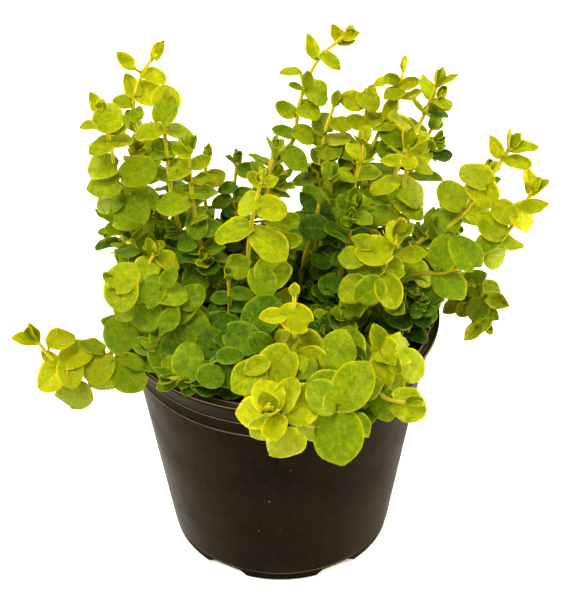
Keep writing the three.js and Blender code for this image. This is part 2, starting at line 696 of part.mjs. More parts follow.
// A round blade whose base is drawn out to a point inside the stem: a shallow dished lens with a sharp rim.
// Spare makes it larger all round, to look for room.
function leafSolid({ place, centre, out, face, blade }, spare = 0) {
  const corners = blade < SMALL_BLADE ? 6 : 8;
  const half = blade / 2 + spare;
  const thickness = LEAF_THICKNESS / 2 + spare;
  const across = new THREE.Vector3().crossVectors(face, out);
  const toPlace = place.clone().sub(centre);
  const points = [[out, across, face].map((axis) => toPlace.dot(axis))];
  for (let i = 1; i < corners; i++) {
    const angle = (i * 2 * Math.PI) / corners;
    const aside = -half * BLADE_WIDTH_SHARE * Math.sin(angle) * (1 + BASE_WIDENING * Math.cos(angle));
    points.push([-half * Math.cos(angle), aside, DISH_SHARE * blade * Math.sin(angle) ** 2]);
  }
  const [top, bottom] = [corners, corners + 1];
  points.push([0, 0, thickness], [0, 0, -thickness]);
  const triangles = points.slice(0, corners).flatMap((_, i) => {
    const next = (i + 1) % corners;
    return [top, i, next, bottom, next, i];
  });

  const geometry = new THREE.BufferGeometry();
  geometry.setAttribute("position", new THREE.Float32BufferAttribute(points.flat(), 3));
  geometry.setIndex(triangles);
  geometry.applyMatrix4(new THREE.Matrix4().makeBasis(out, across, face).setPosition(centre));
  return solidFrom(geometry);
}

// ---- Growing the leaves ----

// A solid in its place, with its box, the shoot that it belongs to and which leaf pair it is of.
function placedSolid(solid, owner, pair) {
  const { min, max } = solid.boundingBox();
  return { solid, owner, pair, box: new THREE.Box3(vector(min), vector(max)) };
}

// True if two solids may touch: a leaf and its own stem or partner, or two of a shoot's youngest leaves.
function growTogether(a, b) {
  if (a.owner !== b.owner) return false;
  return b.pair === undefined || a.pair === b.pair || Math.max(a.pair, b.pair) < TIP_PAIRS;
}

function hasRoom(trial, placed) {
  return placed.every((other) => {
    if (!other.box.intersectsBox(trial.box) || growTogether(trial, other)) return true;
    return other.solid.intersect(trial.solid).isEmpty();
  });
}

// Adds a shoot's leaves that hold a place of their own, each somewhat smaller where it needs to be.
function placeSetLeaves({ name, stem }, placed) {
  const rows = SET_LEAVES[name.replace("shoot_", "")] ?? [];
  rows.forEach(([x, y, z, blade, yaw, pitch], i) => {
    for (const share of SET_SHARES) {
      const centre = new THREE.Vector3(x, y, z);
      const leaf = setLeafFrame(stem, centre, radians(yaw), radians(pitch), blade * share);
      const pair = FIRST_SET_PAIR + i;
      if (!hasRoom(placedSolid(leafSolid(leaf, CLEARANCE), name, pair), placed)) continue;
      placed.push(placedSolid(leafSolid(leaf), name, pair));
      break;
    }
  });
}

// Adds a shoot's leaves, in pairs from its tip down.
function growLeaves(shoot, seed, placed) {
  const { name, stem, gap, blade, light, pairs } = shoot;
  const chance = numberSource(seed);
  const difference = (range) => (chance() - 0.5) * range;
  const inOrder = (list, pair) => list[Math.min(pair, list.length - 1)];
  const spin = chance() * Math.PI;
  let distance = stem.length - STEM_RADIUS / 2;
  for (let pair = 0; pair < pairs && distance > ROOTED + BARE; pair++) {
    const node = stem.at(distance);
    const upright = node.along.z ** 2; // 0 where the stem creeps and its leaves all lie to the sides
    for (const side of [0, Math.PI]) {
      const size = blade * inOrder(PAIR_BLADES, pair) * (1 + difference(SIZE_CHANCE));
      const turn = side + (spin + (pair * Math.PI) / 2) * upright + radians(difference(TURN_CHANCE));
      const rise = radians(inOrder(PAIR_RISES, pair) + difference(RISE_CHANCE));
      for (const [moreTurn, moreRise, share] of TRIES) {
        const leaf = leafFrame(node, turn + radians(moreTurn), rise + radians(moreRise), size * share, light);
        if (!hasRoom(placedSolid(leafSolid(leaf, CLEARANCE), name, pair), placed)) continue;
        placed.push(placedSolid(leafSolid(leaf), name, pair));
        break;
      }
    }
    distance -= gap * inOrder(PAIR_GAPS, pair);
  }
}

// ---- The whole plant ----

const shoots = allShoots();
const pot = makePot();
const soil = makeSoil(shoots.map((shoot) => shoot.stem));
const chip = makeChip();
const placed = [pot, soil, chip].map((solid) => placedSolid(solid, "pot"));
for (const shoot of shoots) placed.push(placedSolid(shoot.stem.solid(), shoot.name));
for (const shoot of shoots) placeSetLeaves(shoot, placed);
shoots.forEach((shoot, i) => growLeaves(shoot, FIRST_SEED + i * SEED_STEP, placed));

const creepingJenny = new THREE.Group();
creepingJenny.add(meshFrom(pot, "nursery_pot", BLACK_PLASTIC));
creepingJenny.add(meshFrom(soil, "potting_mix", POTTING_MIX));
creepingJenny.add(meshFrom(chip, "bark_chip", BARK));
for (const { name, look } of shoots) {
  const pieces = placed.filter((piece) => piece.owner === name).map((piece) => piece.solid);
  creepingJenny.add(meshFrom(wasm.Manifold.union(pieces), name, look));
}

export default creepingJenny;
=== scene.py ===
"""Potted golden creeping jenny: the looks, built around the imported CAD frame.

Sizes are in millimetres, as in the part's source, until a mesh is made. +Z is up and -Y is the front. Each
shoot grows along the route of its CAD node, which it replaces: a tapered stem, its leaf pairs from the tip
down, and the small side shoots that close the crown.
"""

import math
import random

import bpy
import numpy as np
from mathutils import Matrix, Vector, noise


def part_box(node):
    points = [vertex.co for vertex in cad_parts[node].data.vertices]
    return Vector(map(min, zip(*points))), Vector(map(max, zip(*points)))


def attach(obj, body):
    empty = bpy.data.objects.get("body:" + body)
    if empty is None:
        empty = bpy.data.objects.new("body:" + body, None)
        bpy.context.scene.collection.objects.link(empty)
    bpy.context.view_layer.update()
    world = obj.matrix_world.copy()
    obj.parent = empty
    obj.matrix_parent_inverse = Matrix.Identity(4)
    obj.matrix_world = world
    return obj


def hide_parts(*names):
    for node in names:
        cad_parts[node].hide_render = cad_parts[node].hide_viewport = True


MM = 0.001
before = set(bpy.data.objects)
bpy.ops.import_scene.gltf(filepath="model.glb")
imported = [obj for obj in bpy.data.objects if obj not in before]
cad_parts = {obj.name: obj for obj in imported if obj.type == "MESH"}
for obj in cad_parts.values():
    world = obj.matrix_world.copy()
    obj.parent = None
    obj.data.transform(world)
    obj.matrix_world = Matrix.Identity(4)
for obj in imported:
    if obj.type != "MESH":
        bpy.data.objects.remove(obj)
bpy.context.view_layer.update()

# ---- Camera and lamps ----

AIM = Vector((5, 0, 112))
CAMERA_DISTANCE = 700
CAMERA_ELEVATION = 35.5  # degrees above level
CAMERA_ROLL = -0.4
LENS = 103.9
FLOOR_SIZE = 2000
LAMP_AIM = Vector((0, 0, 0.12))  # in metres, as the lamps' places
WARM = (1, 0.96, 0.88)
AMBER = (1, 0.84, 0.56)


def add_camera():
    elevation = math.radians(CAMERA_ELEVATION)
    camera = bpy.data.objects.new("camera", bpy.data.cameras.new("camera"))
    camera.data.lens = LENS
    camera.data.clip_end = 20
    back = Vector((0, -math.cos(elevation), math.sin(elevation)))
    camera.location = (AIM + back * CAMERA_DISTANCE) * MM
    camera.rotation_euler = (math.pi / 2 - elevation, 0, 0)
    camera.rotation_euler.rotate_axis("Z", math.radians(CAMERA_ROLL))
    bpy.context.scene.collection.objects.link(camera)
    bpy.context.scene.camera = camera


# ---- Driving dimensions ----

RIM_RADIUS = 65
POT_HEIGHT = 107
SHOULDER_RADIUS = 60.7  # the wall at the upper bead
BASE_RADIUS = 47
FOOT_INSET = 0.8
FOOT_HEIGHT = 5
WALL = 1.2
FLOOR = 1.5
RIM_WIDTH = 3.6
BEAD_DROPS = (17, 10.5)
BEAD = 0.55
SHOULDER_HEIGHT = POT_HEIGHT - BEAD_DROPS[1]
POT_SEGMENTS = 192

NOTCH_COUNT = 6
NOTCH_WIDTH = 20
NOTCH_HEIGHT = 4.8
NOTCH_REACH = (39, 54)
NOTCH_SIDES = 48

SOIL_EDGE = 94
SOIL_CROWN = 97
SOIL_GAP = 0.15  # between the mix and the wall
CRUMB_COUNT = 900
CHIP_SIZE = (11, 5, 1.8)  # length, width and thickness
CHIP_TURN = 2.2  # radians about Z

ROUTE_STEPS = 16  # samples between two points of a route
STEM_SIDES = 8
STEM_STEP = 2.2
STEM_RADII = (1.2, 0.72)  # at foot and tip
ROOT_DEPTH = 3
NODE_LENGTH = 1.2
NODE_SWELLING = 0.22
BARE_FOOT = 8
SIDE_SHOOT_SHARE = 0.35  # of the older leaves, those with a side shoot in their axil

PETIOLE_SHARE = 0.1
LEAF_THICKNESS = 0.32
BLADE_ROWS = 15
COLUMNS = 11
SIDE_VEINS = 5.5

# For the leaf pairs counted back from the tip: the lengths of their blades as shares of the shoot's full size
# and their widths as shares of the lengths, the degrees by which the blades rise, and how far they are folded
# up and curled in, in radians.
PAIR_BLADES = (0.42, 0.58, 0.72, 0.86, 0.96, 1)
PAIR_WIDTHS = (0.78, 0.84, 0.88, 0.93, 0.97)
PAIR_RISES = (68, 48, 30, 20, 12, 6, 2)
PAIR_CUPS = (1.4, 1.0, 0.55, 0.35, 0.1, -0.15)
PAIR_BENDS = (0.9, 0.5, 0.1, -0.2, -0.35)
TIP_GAP = 0.14  # between the two youngest pairs, as a share of the usual stretch
POINTS = (0.2, 0.09)  # how far a young leaf and an old one may run out to a point, as shares of the blade
OLD_PAIR = 5  # leaves further back than this may turn brown
TONE_FALL = 0.0055  # how much deeper green a leaf is for each millimetre down from the tip
TONE_RANGE = (12, 60)  # how far down a leaf at the tip counts as, and the furthest that any does
COVER_FADE = 0.32  # how fast leaves that stand above one take its light away
COVER_REACH = 45  # how far above it they still count, fading with the distance

# What a growing leaf keeps clear of: the discs of the blades before it, the other stems, the mix and the pot.
DISC_SHARE = 0.96  # the disc's size as a share of the blade's length
YOUNG_PAIR = 2  # the leaves of a shoot's youngest pairs, up to this one, may touch each other
FLAT_SINE = 0.12  # between two blades that count as parallel, which stay the flat gap apart
FLAT_GAP = 0.7
STEM_GAP = 1.2
MIX_GAP = 1.2
POT_GAP = 0.8

LIGHT = Vector((0, -0.75, 1)).normalized()
# Leaves covered from this light are given a deeper green tone: partly the plant's own greening in shade,
# partly painted shade.
OVERHEAD = Vector((0, -0.2, 1)).normalized()  # where the light that turns leaves yellow comes from

# More turn and rise in degrees and share of the size, which a leaf tries to grow clear of its neighbours.
TRIES = (
    (0, 0, 1), (20, 0, 1), (-20, 0, 1), (0, 18, 0.95), (0, -18, 0.95), (36, 8, 0.88), (-36, 8, 0.88),
    (0, 0, 0.72), (0, 34, 0.7), (0, -30, 0.7), (26, 30, 0.65), (-26, 30, 0.65),
)

# Each shoot: where it is rooted, the stretch between its leaf pairs and the share of it between the youngest
# ones, its largest blade, how far from 0 to 1 its blades turn to the light, the turn of its youngest pair in
# degrees, its colour from 0 (deep green) to 1 (lime), and the points it passes to its tip.
SHOOTS = {
    "left_back_tall": ((-36, 24), 10, 0.8, 12, 0.25, 20, 0.88, [
        (-52, 24, 143), (-54, 26, 167), (-57, 30, 183), (-53, 33, 197), (-47, 36, 205)]),
    "left_outer": ((-44, 10), 10.5, 0.55, 15, 0.3, 60, 0.78, [
        (-58, 8, 139), (-62, 8, 158), (-64, 8, 178), (-66, 6, 196)]),
    "left_mid_tall": ((-30, 14), 11, 0.8, 13, 0.25, 10, 0.75, [
        (-41, 14, 144), (-43, 16, 162), (-44, 18, 181), (-43, 20, 193)]),
    "left_inner": ((-24, 2), 10, 0.6, 12, 0.35, 80, 0.7, [
        (-30, 2, 133), (-33, 4, 153), (-34, 6, 168), (-34, 8, 179)]),
    "left_back_slim": ((-22, 30), 10, 0.7, 10, 0.3, 0, 0.7, [(-30, 32, 137), (-29, 36, 158)]),
    "back_left_small": ((-10, 36), 10, 0.5, 11, 0.3, 45, 0.5, [(-18, 39, 133), (-17, 42, 152)]),
    "centre_front_tall": ((0, -14), 12, 0.8, 16, 0.45, 90, 0.78, [
        (-3, -16, 127), (-11, -18, 141), (-10, -18, 160), (-6, -20, 181)]),
    "back_tallest": ((-6, 26), 11, 0.75, 13, 0.25, 20, 0.86, [
        (-3, 34, 152), (6, 40, 163), (9, 44, 179), (16, 48, 195), (27, 52, 204)]),
    "back_centre": ((10, 34), 10, 0.55, 12, 0.3, 30, 0.84, [(18, 42, 157), (23, 48, 176)]),
    "back_right_tall": ((18, 36), 10, 0.6, 13, 0.3, 0, 0.86, [(38, 44, 156), (47, 50, 170), (51, 56, 186)]),
    "back_right_mid": ((24, 32), 9, 0.6, 13, 0.3, 70, 0.84, [(31, 38, 140), (34, 44, 162), (37, 48, 178)]),
    "back_right_outer": ((30, 28), 10, 0.6, 13, 0.3, 50, 0.84, [
        (49, 34, 155), (57, 38, 171), (64, 42, 188)]),
    "right_upright": ((28, 10), 10.5, 0.65, 14, 0.35, 15, 0.8, [(46, 9, 143), (49, 8, 159), (51, 8, 180)]),
    "right_long": ((32, 2), 11.5, 0.55, 15, 0.4, 40, 0.85, [
        (54, 2, 136), (67, 2, 145), (78, 4, 159), (85, 6, 170), (90, 7, 179)]),
    "right_far": ((26, -10), 12.5, 0.5, 15, 0.4, 70, 0.84, [
        (49, -12, 129), (65, -11, 133), (80, -8, 138), (91, -6, 151), (98, -4, 166)]),
    "right_trailer": ((47, 8), 8, 0.5, 13, 0.6, 0, 0.8, [
        (60, 9, 112), (70, 10, 116), (80, 10, 110), (85, 6, 96)]),
    "front_upright": ((4, -36), 12, 0.7, 15, 0.35, 90, 0.88, [(5, -50, 117), (6, -56, 138), (6, -60, 157)]),
    "front_trailer": ((24, -32), 11, 0.35, 18, 0.55, 30, 0.82, [
        (24, -54, 117), (24, -73, 116), (15, -80, 112), (3, -82, 119), (-3, -89, 127)]),
    "front_right_rosette": ((34, -28), 6, 0.4, 15, 0.5, 0, 0.76, [
        (40, -44, 111), (41, -49, 120), (39, -56, 129)]),
    "front_right_runner": ((27, -41), 9, 0.45, 15, 0.6, 0, 0.62, [
        (29, -50, 112), (34, -61, 115), (41, -67, 114), (47, -69, 114)]),
    "centre_right_rosette": ((12, -20), 9, 0.4, 15, 0.45, 30, 0.76, [
        (26, -24, 120), (35, -26, 129), (40, -28, 146), (45, -28, 162)]),
    "left_front_runner": ((-30, -16), 11, 0.5, 17, 0.55, 0, 0.66, [
        (-38, -28, 122), (-46, -32, 132), (-55, -34, 138), (-62, -36, 146)]),
    "left_trailer": ((-42, -6), 10, 0.5, 16, 0.6, 0, 0.84, [
        (-51, -20, 115), (-61, -30, 114), (-72, -38, 107), (-83, -40, 108), (-93, -40, 123)]),
    "left_rosette": ((-46, -4), 8, 0.5, 12, 0.4, 20, 0.75, [(-51, -12, 130), (-48, -14, 145)]),
    "left_front_small": ((-22, -22), 8, 0.5, 9, 0.35, 0, 0.45, [(-19, -26, 125), (-19, -28, 143)]),
    "centre_dark": ((6, 0), 11, 0.6, 13, 0.35, 60, 0.25, [(10, 0, 131), (14, 0, 145), (16, 0, 158)]),
    "centre_back_rosette": ((14, 14), 10, 0.75, 12, 0.35, 0, 0.82, [(31, 17, 160), (33, 18, 176)]),
    "centre_rosette": ((6, 12), 10, 0.75, 13, 0.35, 30, 0.55, [(19, 9, 148), (21, 8, 165)]),
    "centre_right_small": ((18, -4), 9, 0.5, 11, 0.35, 60, 0.5, [(27, -4, 141), (29, -6, 162)]),
    "front_left_spread": ((-34, -30), 7, 0.4, 14, 0.65, 20, 0.45, [(-42, -38, 112), (-49, -44, 121)]),
    "front_left_low": ((-22, -40), 7, 0.4, 13, 0.65, 70, 0.38, [(-27, -47, 112), (-25, -54, 123)]),
    "front_left_round": ((-10, -32), 8, 0.45, 16, 0.6, 0, 0.4, [(-14, -42, 116), (-13, -47, 134)]),
    "front_left_rim": ((-30, -44), 8, 0.5, 11, 0.6, 30, 0.52, [
        (-33, -51, 112), (-37, -57, 117), (-41, -60, 119)]),
    "right_inner": ((46, -16), 7, 0.4, 12, 0.6, 60, 0.3, [(52, -19, 114), (55, -22, 127)]),
    "front_low": ((8, -46), 7, 0.4, 15, 0.65, 10, 0.62, [(10, -53, 112), (18, -61, 119)]),
    "back_upright": ((0, 44), 10, 0.6, 13, 0.3, 40, 0.6, [(-4, 52, 118), (-5, 60, 132), (-2, 66, 144)]),
    "back_trailer": ((14, 48), 10, 0.6, 14, 0.6, 0, 0.6, [
        (16, 58, 114), (19, 72, 118), (20, 86, 111), (20, 98, 97)]),
    "back_right_spread": ((36, 38), 10, 0.6, 14, 0.5, 20, 0.6, [
        (40, 44, 116), (55, 62, 132), (66, 74, 150)]),
    "back_left_spread": ((-26, 42), 10, 0.6, 14, 0.5, 60, 0.6, [
        (-38, 54, 117), (-50, 70, 130), (-60, 80, 146)]),
    "left_back_trailer": ((-48, 18), 10, 0.5, 14, 0.6, 0, 0.5, [
        (-55, 26, 113), (-62, 34, 117), (-66, 43, 113), (-70, 52, 118)]),
    "right_back_spread": ((46, 22), 10, 0.6, 13, 0.5, 30, 0.6, [
        (58, 28, 115), (74, 39, 126), (86, 46, 144)]),
}

# Single leaves that are seen best, by shoot: after how many pairs from the tip they take the place of the
# shoot's own leaves, and for each leaf the middle of its blade, its length, and how far its face looks to the
# right and up from the front, in degrees.
SET_LEAVES = {
    "front_upright": (1, [
        (6, -62, 148, 12, 12, 15), (-2, -60, 147, 9, -20, 72), (1, -56, 132, 13, -15, 35),
        (10, -56, 131, 13, 15, 38), (-1, -66, 129, 16, 10, 55), (-12, -66, 124, 14, -10, 50),
        (-8, -64, 128, 9, -5, 45), (14, -62, 127, 13, 10, 40), (-13, -64, 116, 11, -10, 25)]),
    "front_trailer": (3, [
        (-9, -84, 122, 15, -20, 30), (-6, -88, 117, 12, 0, 10), (-4, -84, 131, 13, -5, 45),
        (2, -91, 111, 15, 10, 8), (9, -85, 127, 16, -10, 30), (16, -80, 126, 14, 30, 30),
        (27, -76, 128, 18, 0, 28), (22, -83, 109, 19, 0, 26), (30, -78, 111, 9, 30, 20),
        (11, -78, 108, 11, -10, 15)]),
    "front_low": (1, [
        (23, -56, 130, 17, 5, 40), (8, -62, 126, 11, -20, 50)]),
    "centre_right_rosette": (3, [
        (51, -26, 151, 9, 15, 40), (36, -32, 157, 13, -10, 50), (32, -29, 159, 8, -20, 40),
        (27, -30, 153, 10, -15, 40), (35, -31, 148, 9, -10, 50), (43, -29, 147, 10, 15, 60),
        (34, -37, 142, 12, -12, 32), (42, -36, 141, 13, 12, 32), (27, -32, 140, 12, -20, 40),
        (44, -34, 133, 9, 15, 45), (28, -26, 128, 10, -10, 50), (24, -26, 124, 8, -10, 80)]),
    "left_trailer": (2, [
        (-61, -34, 120, 14, -5, 35), (-58, -41, 106, 16, 5, 28), (-56, -36, 111, 13, 15, 50),
        (-70, -41, 110, 13, 0, 45), (-68, -41, 102, 13, 5, 20), (-78, -38, 115, 14, -15, 62),
        (-72, -36, 116, 9, 10, 60), (-88, -44, 108, 13, -15, 40), (-80, -45, 111, 12, 0, 60),
        (-80, -45, 97, 15, 5, 18), (-83, -38, 122, 11, 30, 65), (-88, -40, 114, 7, -10, 30)]),
    "left_front_runner": (1, [
        (-59, -38, 144, 15, -10, 48), (-58, -35, 149, 13, -5, 60), (-59, -36, 133, 11, -10, 25),
        (-51, -38, 132, 14, 0, 55), (-48, -35, 142, 12, -5, 50), (-40, -34, 141, 13, 10, 68),
        (-41, -32, 146, 8, 10, 50), (-38, -32, 132, 14, 0, 62), (-33, -31, 136, 11, 15, 60),
        (-33, -38, 126, 16, 0, 64), (-31, -33, 128, 12, 10, 50)]),
    "centre_front_tall": (1, [
        (-8, -19, 181, 7, -20, 30), (-3, -19, 180, 6, 25, 30), (-12, -20, 172, 11, -10, 55),
        (-2, -21, 169, 11, 15, 50), (-17, -20, 159, 14, -10, 84), (-3, -23, 155, 16, 25, 72),
        (-16, -20, 142, 11, -10, 30), (-1, -21, 142, 15, 10, 28), (-6, -26, 139, 13, 20, 66),
        (4, -15, 161, 7, 20, 30), (4, -16, 151, 9, 10, 45)]),
    "left_outer": (1, [
        (-68, 7, 199, 7, -30, 40), (-63, 3, 195, 12, 0, 18), (-60, 8, 188, 9, 15, 55),
        (-71, 6, 189, 8, -20, 82), (-67, 5, 182, 11, -10, 82), (-60, 7, 182, 9, 10, 78),
        (-69, 7, 172, 13, -10, 66), (-68, 4, 165, 13, -5, 30), (-68, 7, 157, 14, -10, 45),
        (-54, 7, 169, 14, 10, 26), (-58, 4, 152, 15, 5, 40), (-52, 8, 156, 12, 15, 40),
        (-65, 8, 142, 8, -10, 30)]),
    "left_mid_tall": (1, [
        (-43, 22, 193, 12, 0, 35), (-43, 16, 191, 11, 0, 12), (-50, 17, 181, 11, -15, 78),
        (-38, 18, 181, 11, 15, 84), (-46, 15, 170, 9, -10, 85), (-45, 20, 171, 11, 0, 60),
        (-38, 16, 166, 9, 10, 80), (-46, 17, 160, 9, -10, 78), (-37, 15, 154, 10, 10, 60)]),
    "front_left_spread": (1, [
        (-52, -38, 118, 9, -15, 40), (-45, -38, 123, 10, -5, 45), (-45, -46, 118, 11, -5, 45),
        (-39, -44, 123, 10, 5, 50), (-41, -40, 132, 9, 5, 60)]),
    "front_left_rim": (2, [
        (-34, -54, 123, 14, 0, 42), (-42, -59, 117, 8, -5, 15), (-25, -60, 120, 10, 15, 50),
        (-40, -52, 119, 9, -10, 40)]),
    "front_left_low": (1, [
        (-26, -46, 126, 13, 5, 48), (-20, -58, 118, 9, 0, 40), (-18, -57, 127, 9, 10, 50)]),
    "right_upright": (2, [
        (54, 9, 178, 9, 35, 15), (45, 7, 172, 9, -10, 80), (57, 8, 171, 10, 10, 68), (51, 4, 172, 8, 0, 50),
        (41, 7, 163, 12, -5, 82), (54, 6, 159, 14, 15, 58), (52, 5, 153, 12, 10, 76),
        (39, 6, 148, 12, -10, 60), (47, 4, 147, 9, 0, 75)]),
    "right_long": (2, [
        (85, 8, 178, 8, -50, 20), (93, 4, 173, 10, 10, 80), (77, 6, 167, 14, -10, 72),
        (80, 1, 163, 13, 10, 62), (68, 5, 158, 13, -15, 50), (66, 3, 149, 12, -10, 40),
        (79, 4, 151, 11, 10, 40), (67, -1, 145, 12, -5, 80)]),
    "right_far": (2, [
        (98, -7, 161, 9, 10, 20), (97, -7, 156, 13, 15, 55), (87, -6, 158, 11, -10, 40),
        (83, -6, 151, 12, -10, 45), (81, -9, 145, 10, -5, 85), (91, -6, 143, 10, 5, 85),
        (87, -8, 137, 12, 10, 8), (72, -14, 144, 15, 20, 60), (64, -11, 142, 13, 0, 30),
        (54, -11, 133, 13, -5, 82), (67, -15, 130, 14, 15, 70)]),
    "right_trailer": (1, [
        (80, 10, 115, 9, 0, 55), (79, 8, 112, 10, -10, 40), (86, 8, 111, 10, 15, 40),
        (77, 9, 108, 9, -15, 40), (88, 5, 107, 9, 30, 35), (71, 6, 104, 8, -25, 35),
        (76, 5, 104, 9, -5, 30), (81, 3, 105, 10, 0, 35), (86, 4, 102, 8, 20, 30), (83, 2, 99, 10, 5, 30),
        (79, 1, 95, 9, -10, 25)]),
    "back_tallest": (1, [
        (25, 54, 204, 9, -20, 15), (29, 52, 204, 6, 20, 30), (29, 51, 200, 6, 10, 70),
        (15, 50, 200, 9, -40, 35), (21, 46, 196, 9, 30, 55), (5, 46, 191, 8, -10, 80),
        (12, 42, 190, 7, 0, 15), (7, 45, 184, 6, -10, 75), (17, 44, 183, 12, 25, 45),
        (3, 43, 175, 9, -15, 60), (13, 42, 176, 10, 10, 62), (2, 40, 166, 9, -10, 75),
        (11, 38, 167, 10, 20, 50), (7, 34, 158, 11, 10, 50)]),
    "back_right_tall": (1, [
        (42, 52, 183, 6, -40, 55), (46, 52, 185, 7, -10, 20), (53, 52, 183, 8, 20, 25),
        (47, 49, 179, 9, -5, 75), (55, 51, 176, 9, 10, 78), (46, 47, 173, 9, -15, 35),
        (43, 46, 168, 12, -5, 72), (51, 47, 167, 10, 15, 60), (46, 40, 165, 10, -10, 60),
        (47, 41, 157, 12, 0, 38)]),
    "back_centre": (2, [
        (18, 46, 168, 10, -10, 40), (26, 44, 168, 9, 10, 50), (16, 44, 162, 9, -15, 50),
        (25, 45, 161, 10, 5, 85), (21, 40, 158, 10, 0, 50)]),
    "back_right_mid": (2, [
        (30, 48, 177, 10, -15, 35), (37, 46, 178, 10, 10, 55), (32, 44, 169, 9, -5, 40),
        (39, 46, 169, 9, 10, 60), (28, 42, 158, 10, -10, 50), (36, 40, 158, 10, 10, 45)]),
    "left_back_tall": (1, [
        (-47, 36, 206, 7, 20, 20), (-58, 35, 202, 8, -40, 40), (-48, 33, 197, 10, 10, 75),
        (-57, 33, 192, 9, -20, 35), (-50, 32, 190, 12, 10, 45), (-61, 31, 186, 8, -15, 50),
        (-57, 29, 184, 10, 5, 55)]),
    "left_inner": (2, [
        (-37, 7, 177, 8, -20, 55), (-30, 8, 172, 8, 20, 40), (-39, 6, 171, 11, -10, 70),
        (-37, 5, 165, 9, -5, 86), (-29, 6, 165, 9, 5, 86), (-29, 5, 160, 10, 15, 80),
        (-41, 2, 158, 13, -10, 60), (-33, 3, 152, 10, 0, 70), (-32, 1, 148, 10, 5, 85),
        (-27, 3, 145, 10, 15, 60), (-37, 3, 140, 10, -5, 40)]),
    "left_back_slim": (2, [
        (-26, 36, 148, 9, 10, 50), (-23, 34, 138, 8, 5, 45), (-33, 34, 144, 9, -15, 60)]),
    "back_left_small": (2, [
        (-12, 40, 149, 9, 10, 30), (-21, 37, 142, 8, -10, 60), (-14, 38, 138, 9, 10, 50)]),
    "centre_dark": (1, [
        (13, -5, 150, 12, -5, 20), (18, 3, 152, 11, 15, 20), (12, 4, 156, 8, -10, 40),
        (19, -2, 143, 7, 5, 84), (23, 3, 146, 9, 20, 40), (17, -4, 133, 8, 10, 40)]),
    "front_right_rosette": (2, [
        (38, -57, 130, 11, -15, 45), (47, -54, 128, 13, 25, 40), (51, -56, 121, 13, 15, 50),
        (43, -59, 124, 8, 10, 50), (38, -60, 121, 12, -10, 55), (43, -57, 112, 11, 5, 20)]),
    "front_right_runner": (1, [
        (49, -68, 112, 14, 15, 50), (40, -69, 114, 12, 5, 75), (32, -68, 110, 12, -5, 84)]),
    "left_rosette": (2, [
        (-42, -14, 142, 10, 25, 60), (-51, -17, 140, 11, -15, 78), (-45, -15, 136, 10, 15, 45)]),
    "left_front_small": (2, [
        (-23, -27, 122, 8, -10, 60), (-15, -27, 128, 8, 10, 65), (-22, -28, 133, 7, -10, 50),
        (-14, -28, 135, 8, 20, 50)]),
    "front_left_round": (1, [
        (-13, -50, 130, 14, -5, 36), (-6, -40, 134, 15, 5, 42), (-6, -54, 130, 10, 5, 38)]),
}

# The low shoots of the spiral between them, which grow where the frame has them.
LOW_SPIRAL = {"count": 16, "turn": 0.9, "reach": 50, "height": 27, "lean": 0.2}
LOW_SHOOT = (7, 0.5, 12, 0.5)  # the stretch between pairs and the rest as in SHOOTS, up to the spin
LOW_RADII = (0.9, 0.5)
LOW_TONE = 0.25
ALL_PAIRS = 99  # for a shoot without set leaves, more than it can hold
GOLDEN_ANGLE = math.pi * (3 - math.sqrt(5))

# How brown-blotched the leaves of an old shoot are.
WEATHERED = {"shoot_right_trailer": 0.9, "shoot_left_trailer": 0.45}


# ---- Small helpers ----


def make_object(name, vertices, faces, materials, smooth=True):
    """A mesh object from points in millimetres and faces as index lists or an array of quads."""
    mesh = bpy.data.meshes.new(name)
    faces = faces.tolist() if isinstance(faces, np.ndarray) else faces
    mesh.from_pydata(np.asarray(vertices) * MM, [], faces)
    for material in materials:
        mesh.materials.append(material)
    mesh.polygons.foreach_set("use_smooth", [smooth] * len(mesh.polygons))
    mesh.update()
    piece = bpy.data.objects.new(name, mesh)
    bpy.context.scene.collection.objects.link(piece)
    return piece


def add_floats(mesh, name, values):
    data = mesh.attributes.new(name, "FLOAT", "POINT").data
    data.foreach_set("value", np.asarray(values, np.float32))


def add_vectors(mesh, name, values):
    data = mesh.attributes.new(name, "FLOAT_VECTOR", "POINT").data
    data.foreach_set("vector", np.asarray(values, np.float32).ravel())


def ring(radius, height, count):
    """Points of a level circle about Z."""
    angles = [k * 2 * math.pi / count for k in range(count)]
    return [(radius * math.cos(angle), radius * math.sin(angle), height) for angle in angles]


def band(low, high, count):
    """Quads between two closed rows of points, each given by the number of its first point."""
    return [[low + k, high + k, high + (k + 1) % count, low + (k + 1) % count] for k in range(count)]


def wall_radius(height):
    if height > SHOULDER_HEIGHT:
        return np.interp(height, (SHOULDER_HEIGHT, POT_HEIGHT), (SHOULDER_RADIUS, RIM_RADIUS))
    share = (height - FOOT_HEIGHT) / (SHOULDER_HEIGHT - FOOT_HEIGHT)
    return BASE_RADIUS + share * (SHOULDER_RADIUS - BASE_RADIUS)


def soil_height(x, y):
    share = math.hypot(x, y) / (wall_radius(SOIL_EDGE) - WALL)
    return SOIL_CROWN - (SOIL_CROWN - SOIL_EDGE) * share * share


# ---- Materials ----


def srgb(red, green, blue):
    """A colour given as it is seen on screen, from 0 to 255."""
    def linear(value):
        value /= 255
        return value / 12.92 if value <= 0.04045 else ((value + 0.055) / 1.055) ** 2.4
    return linear(red), linear(green), linear(blue)


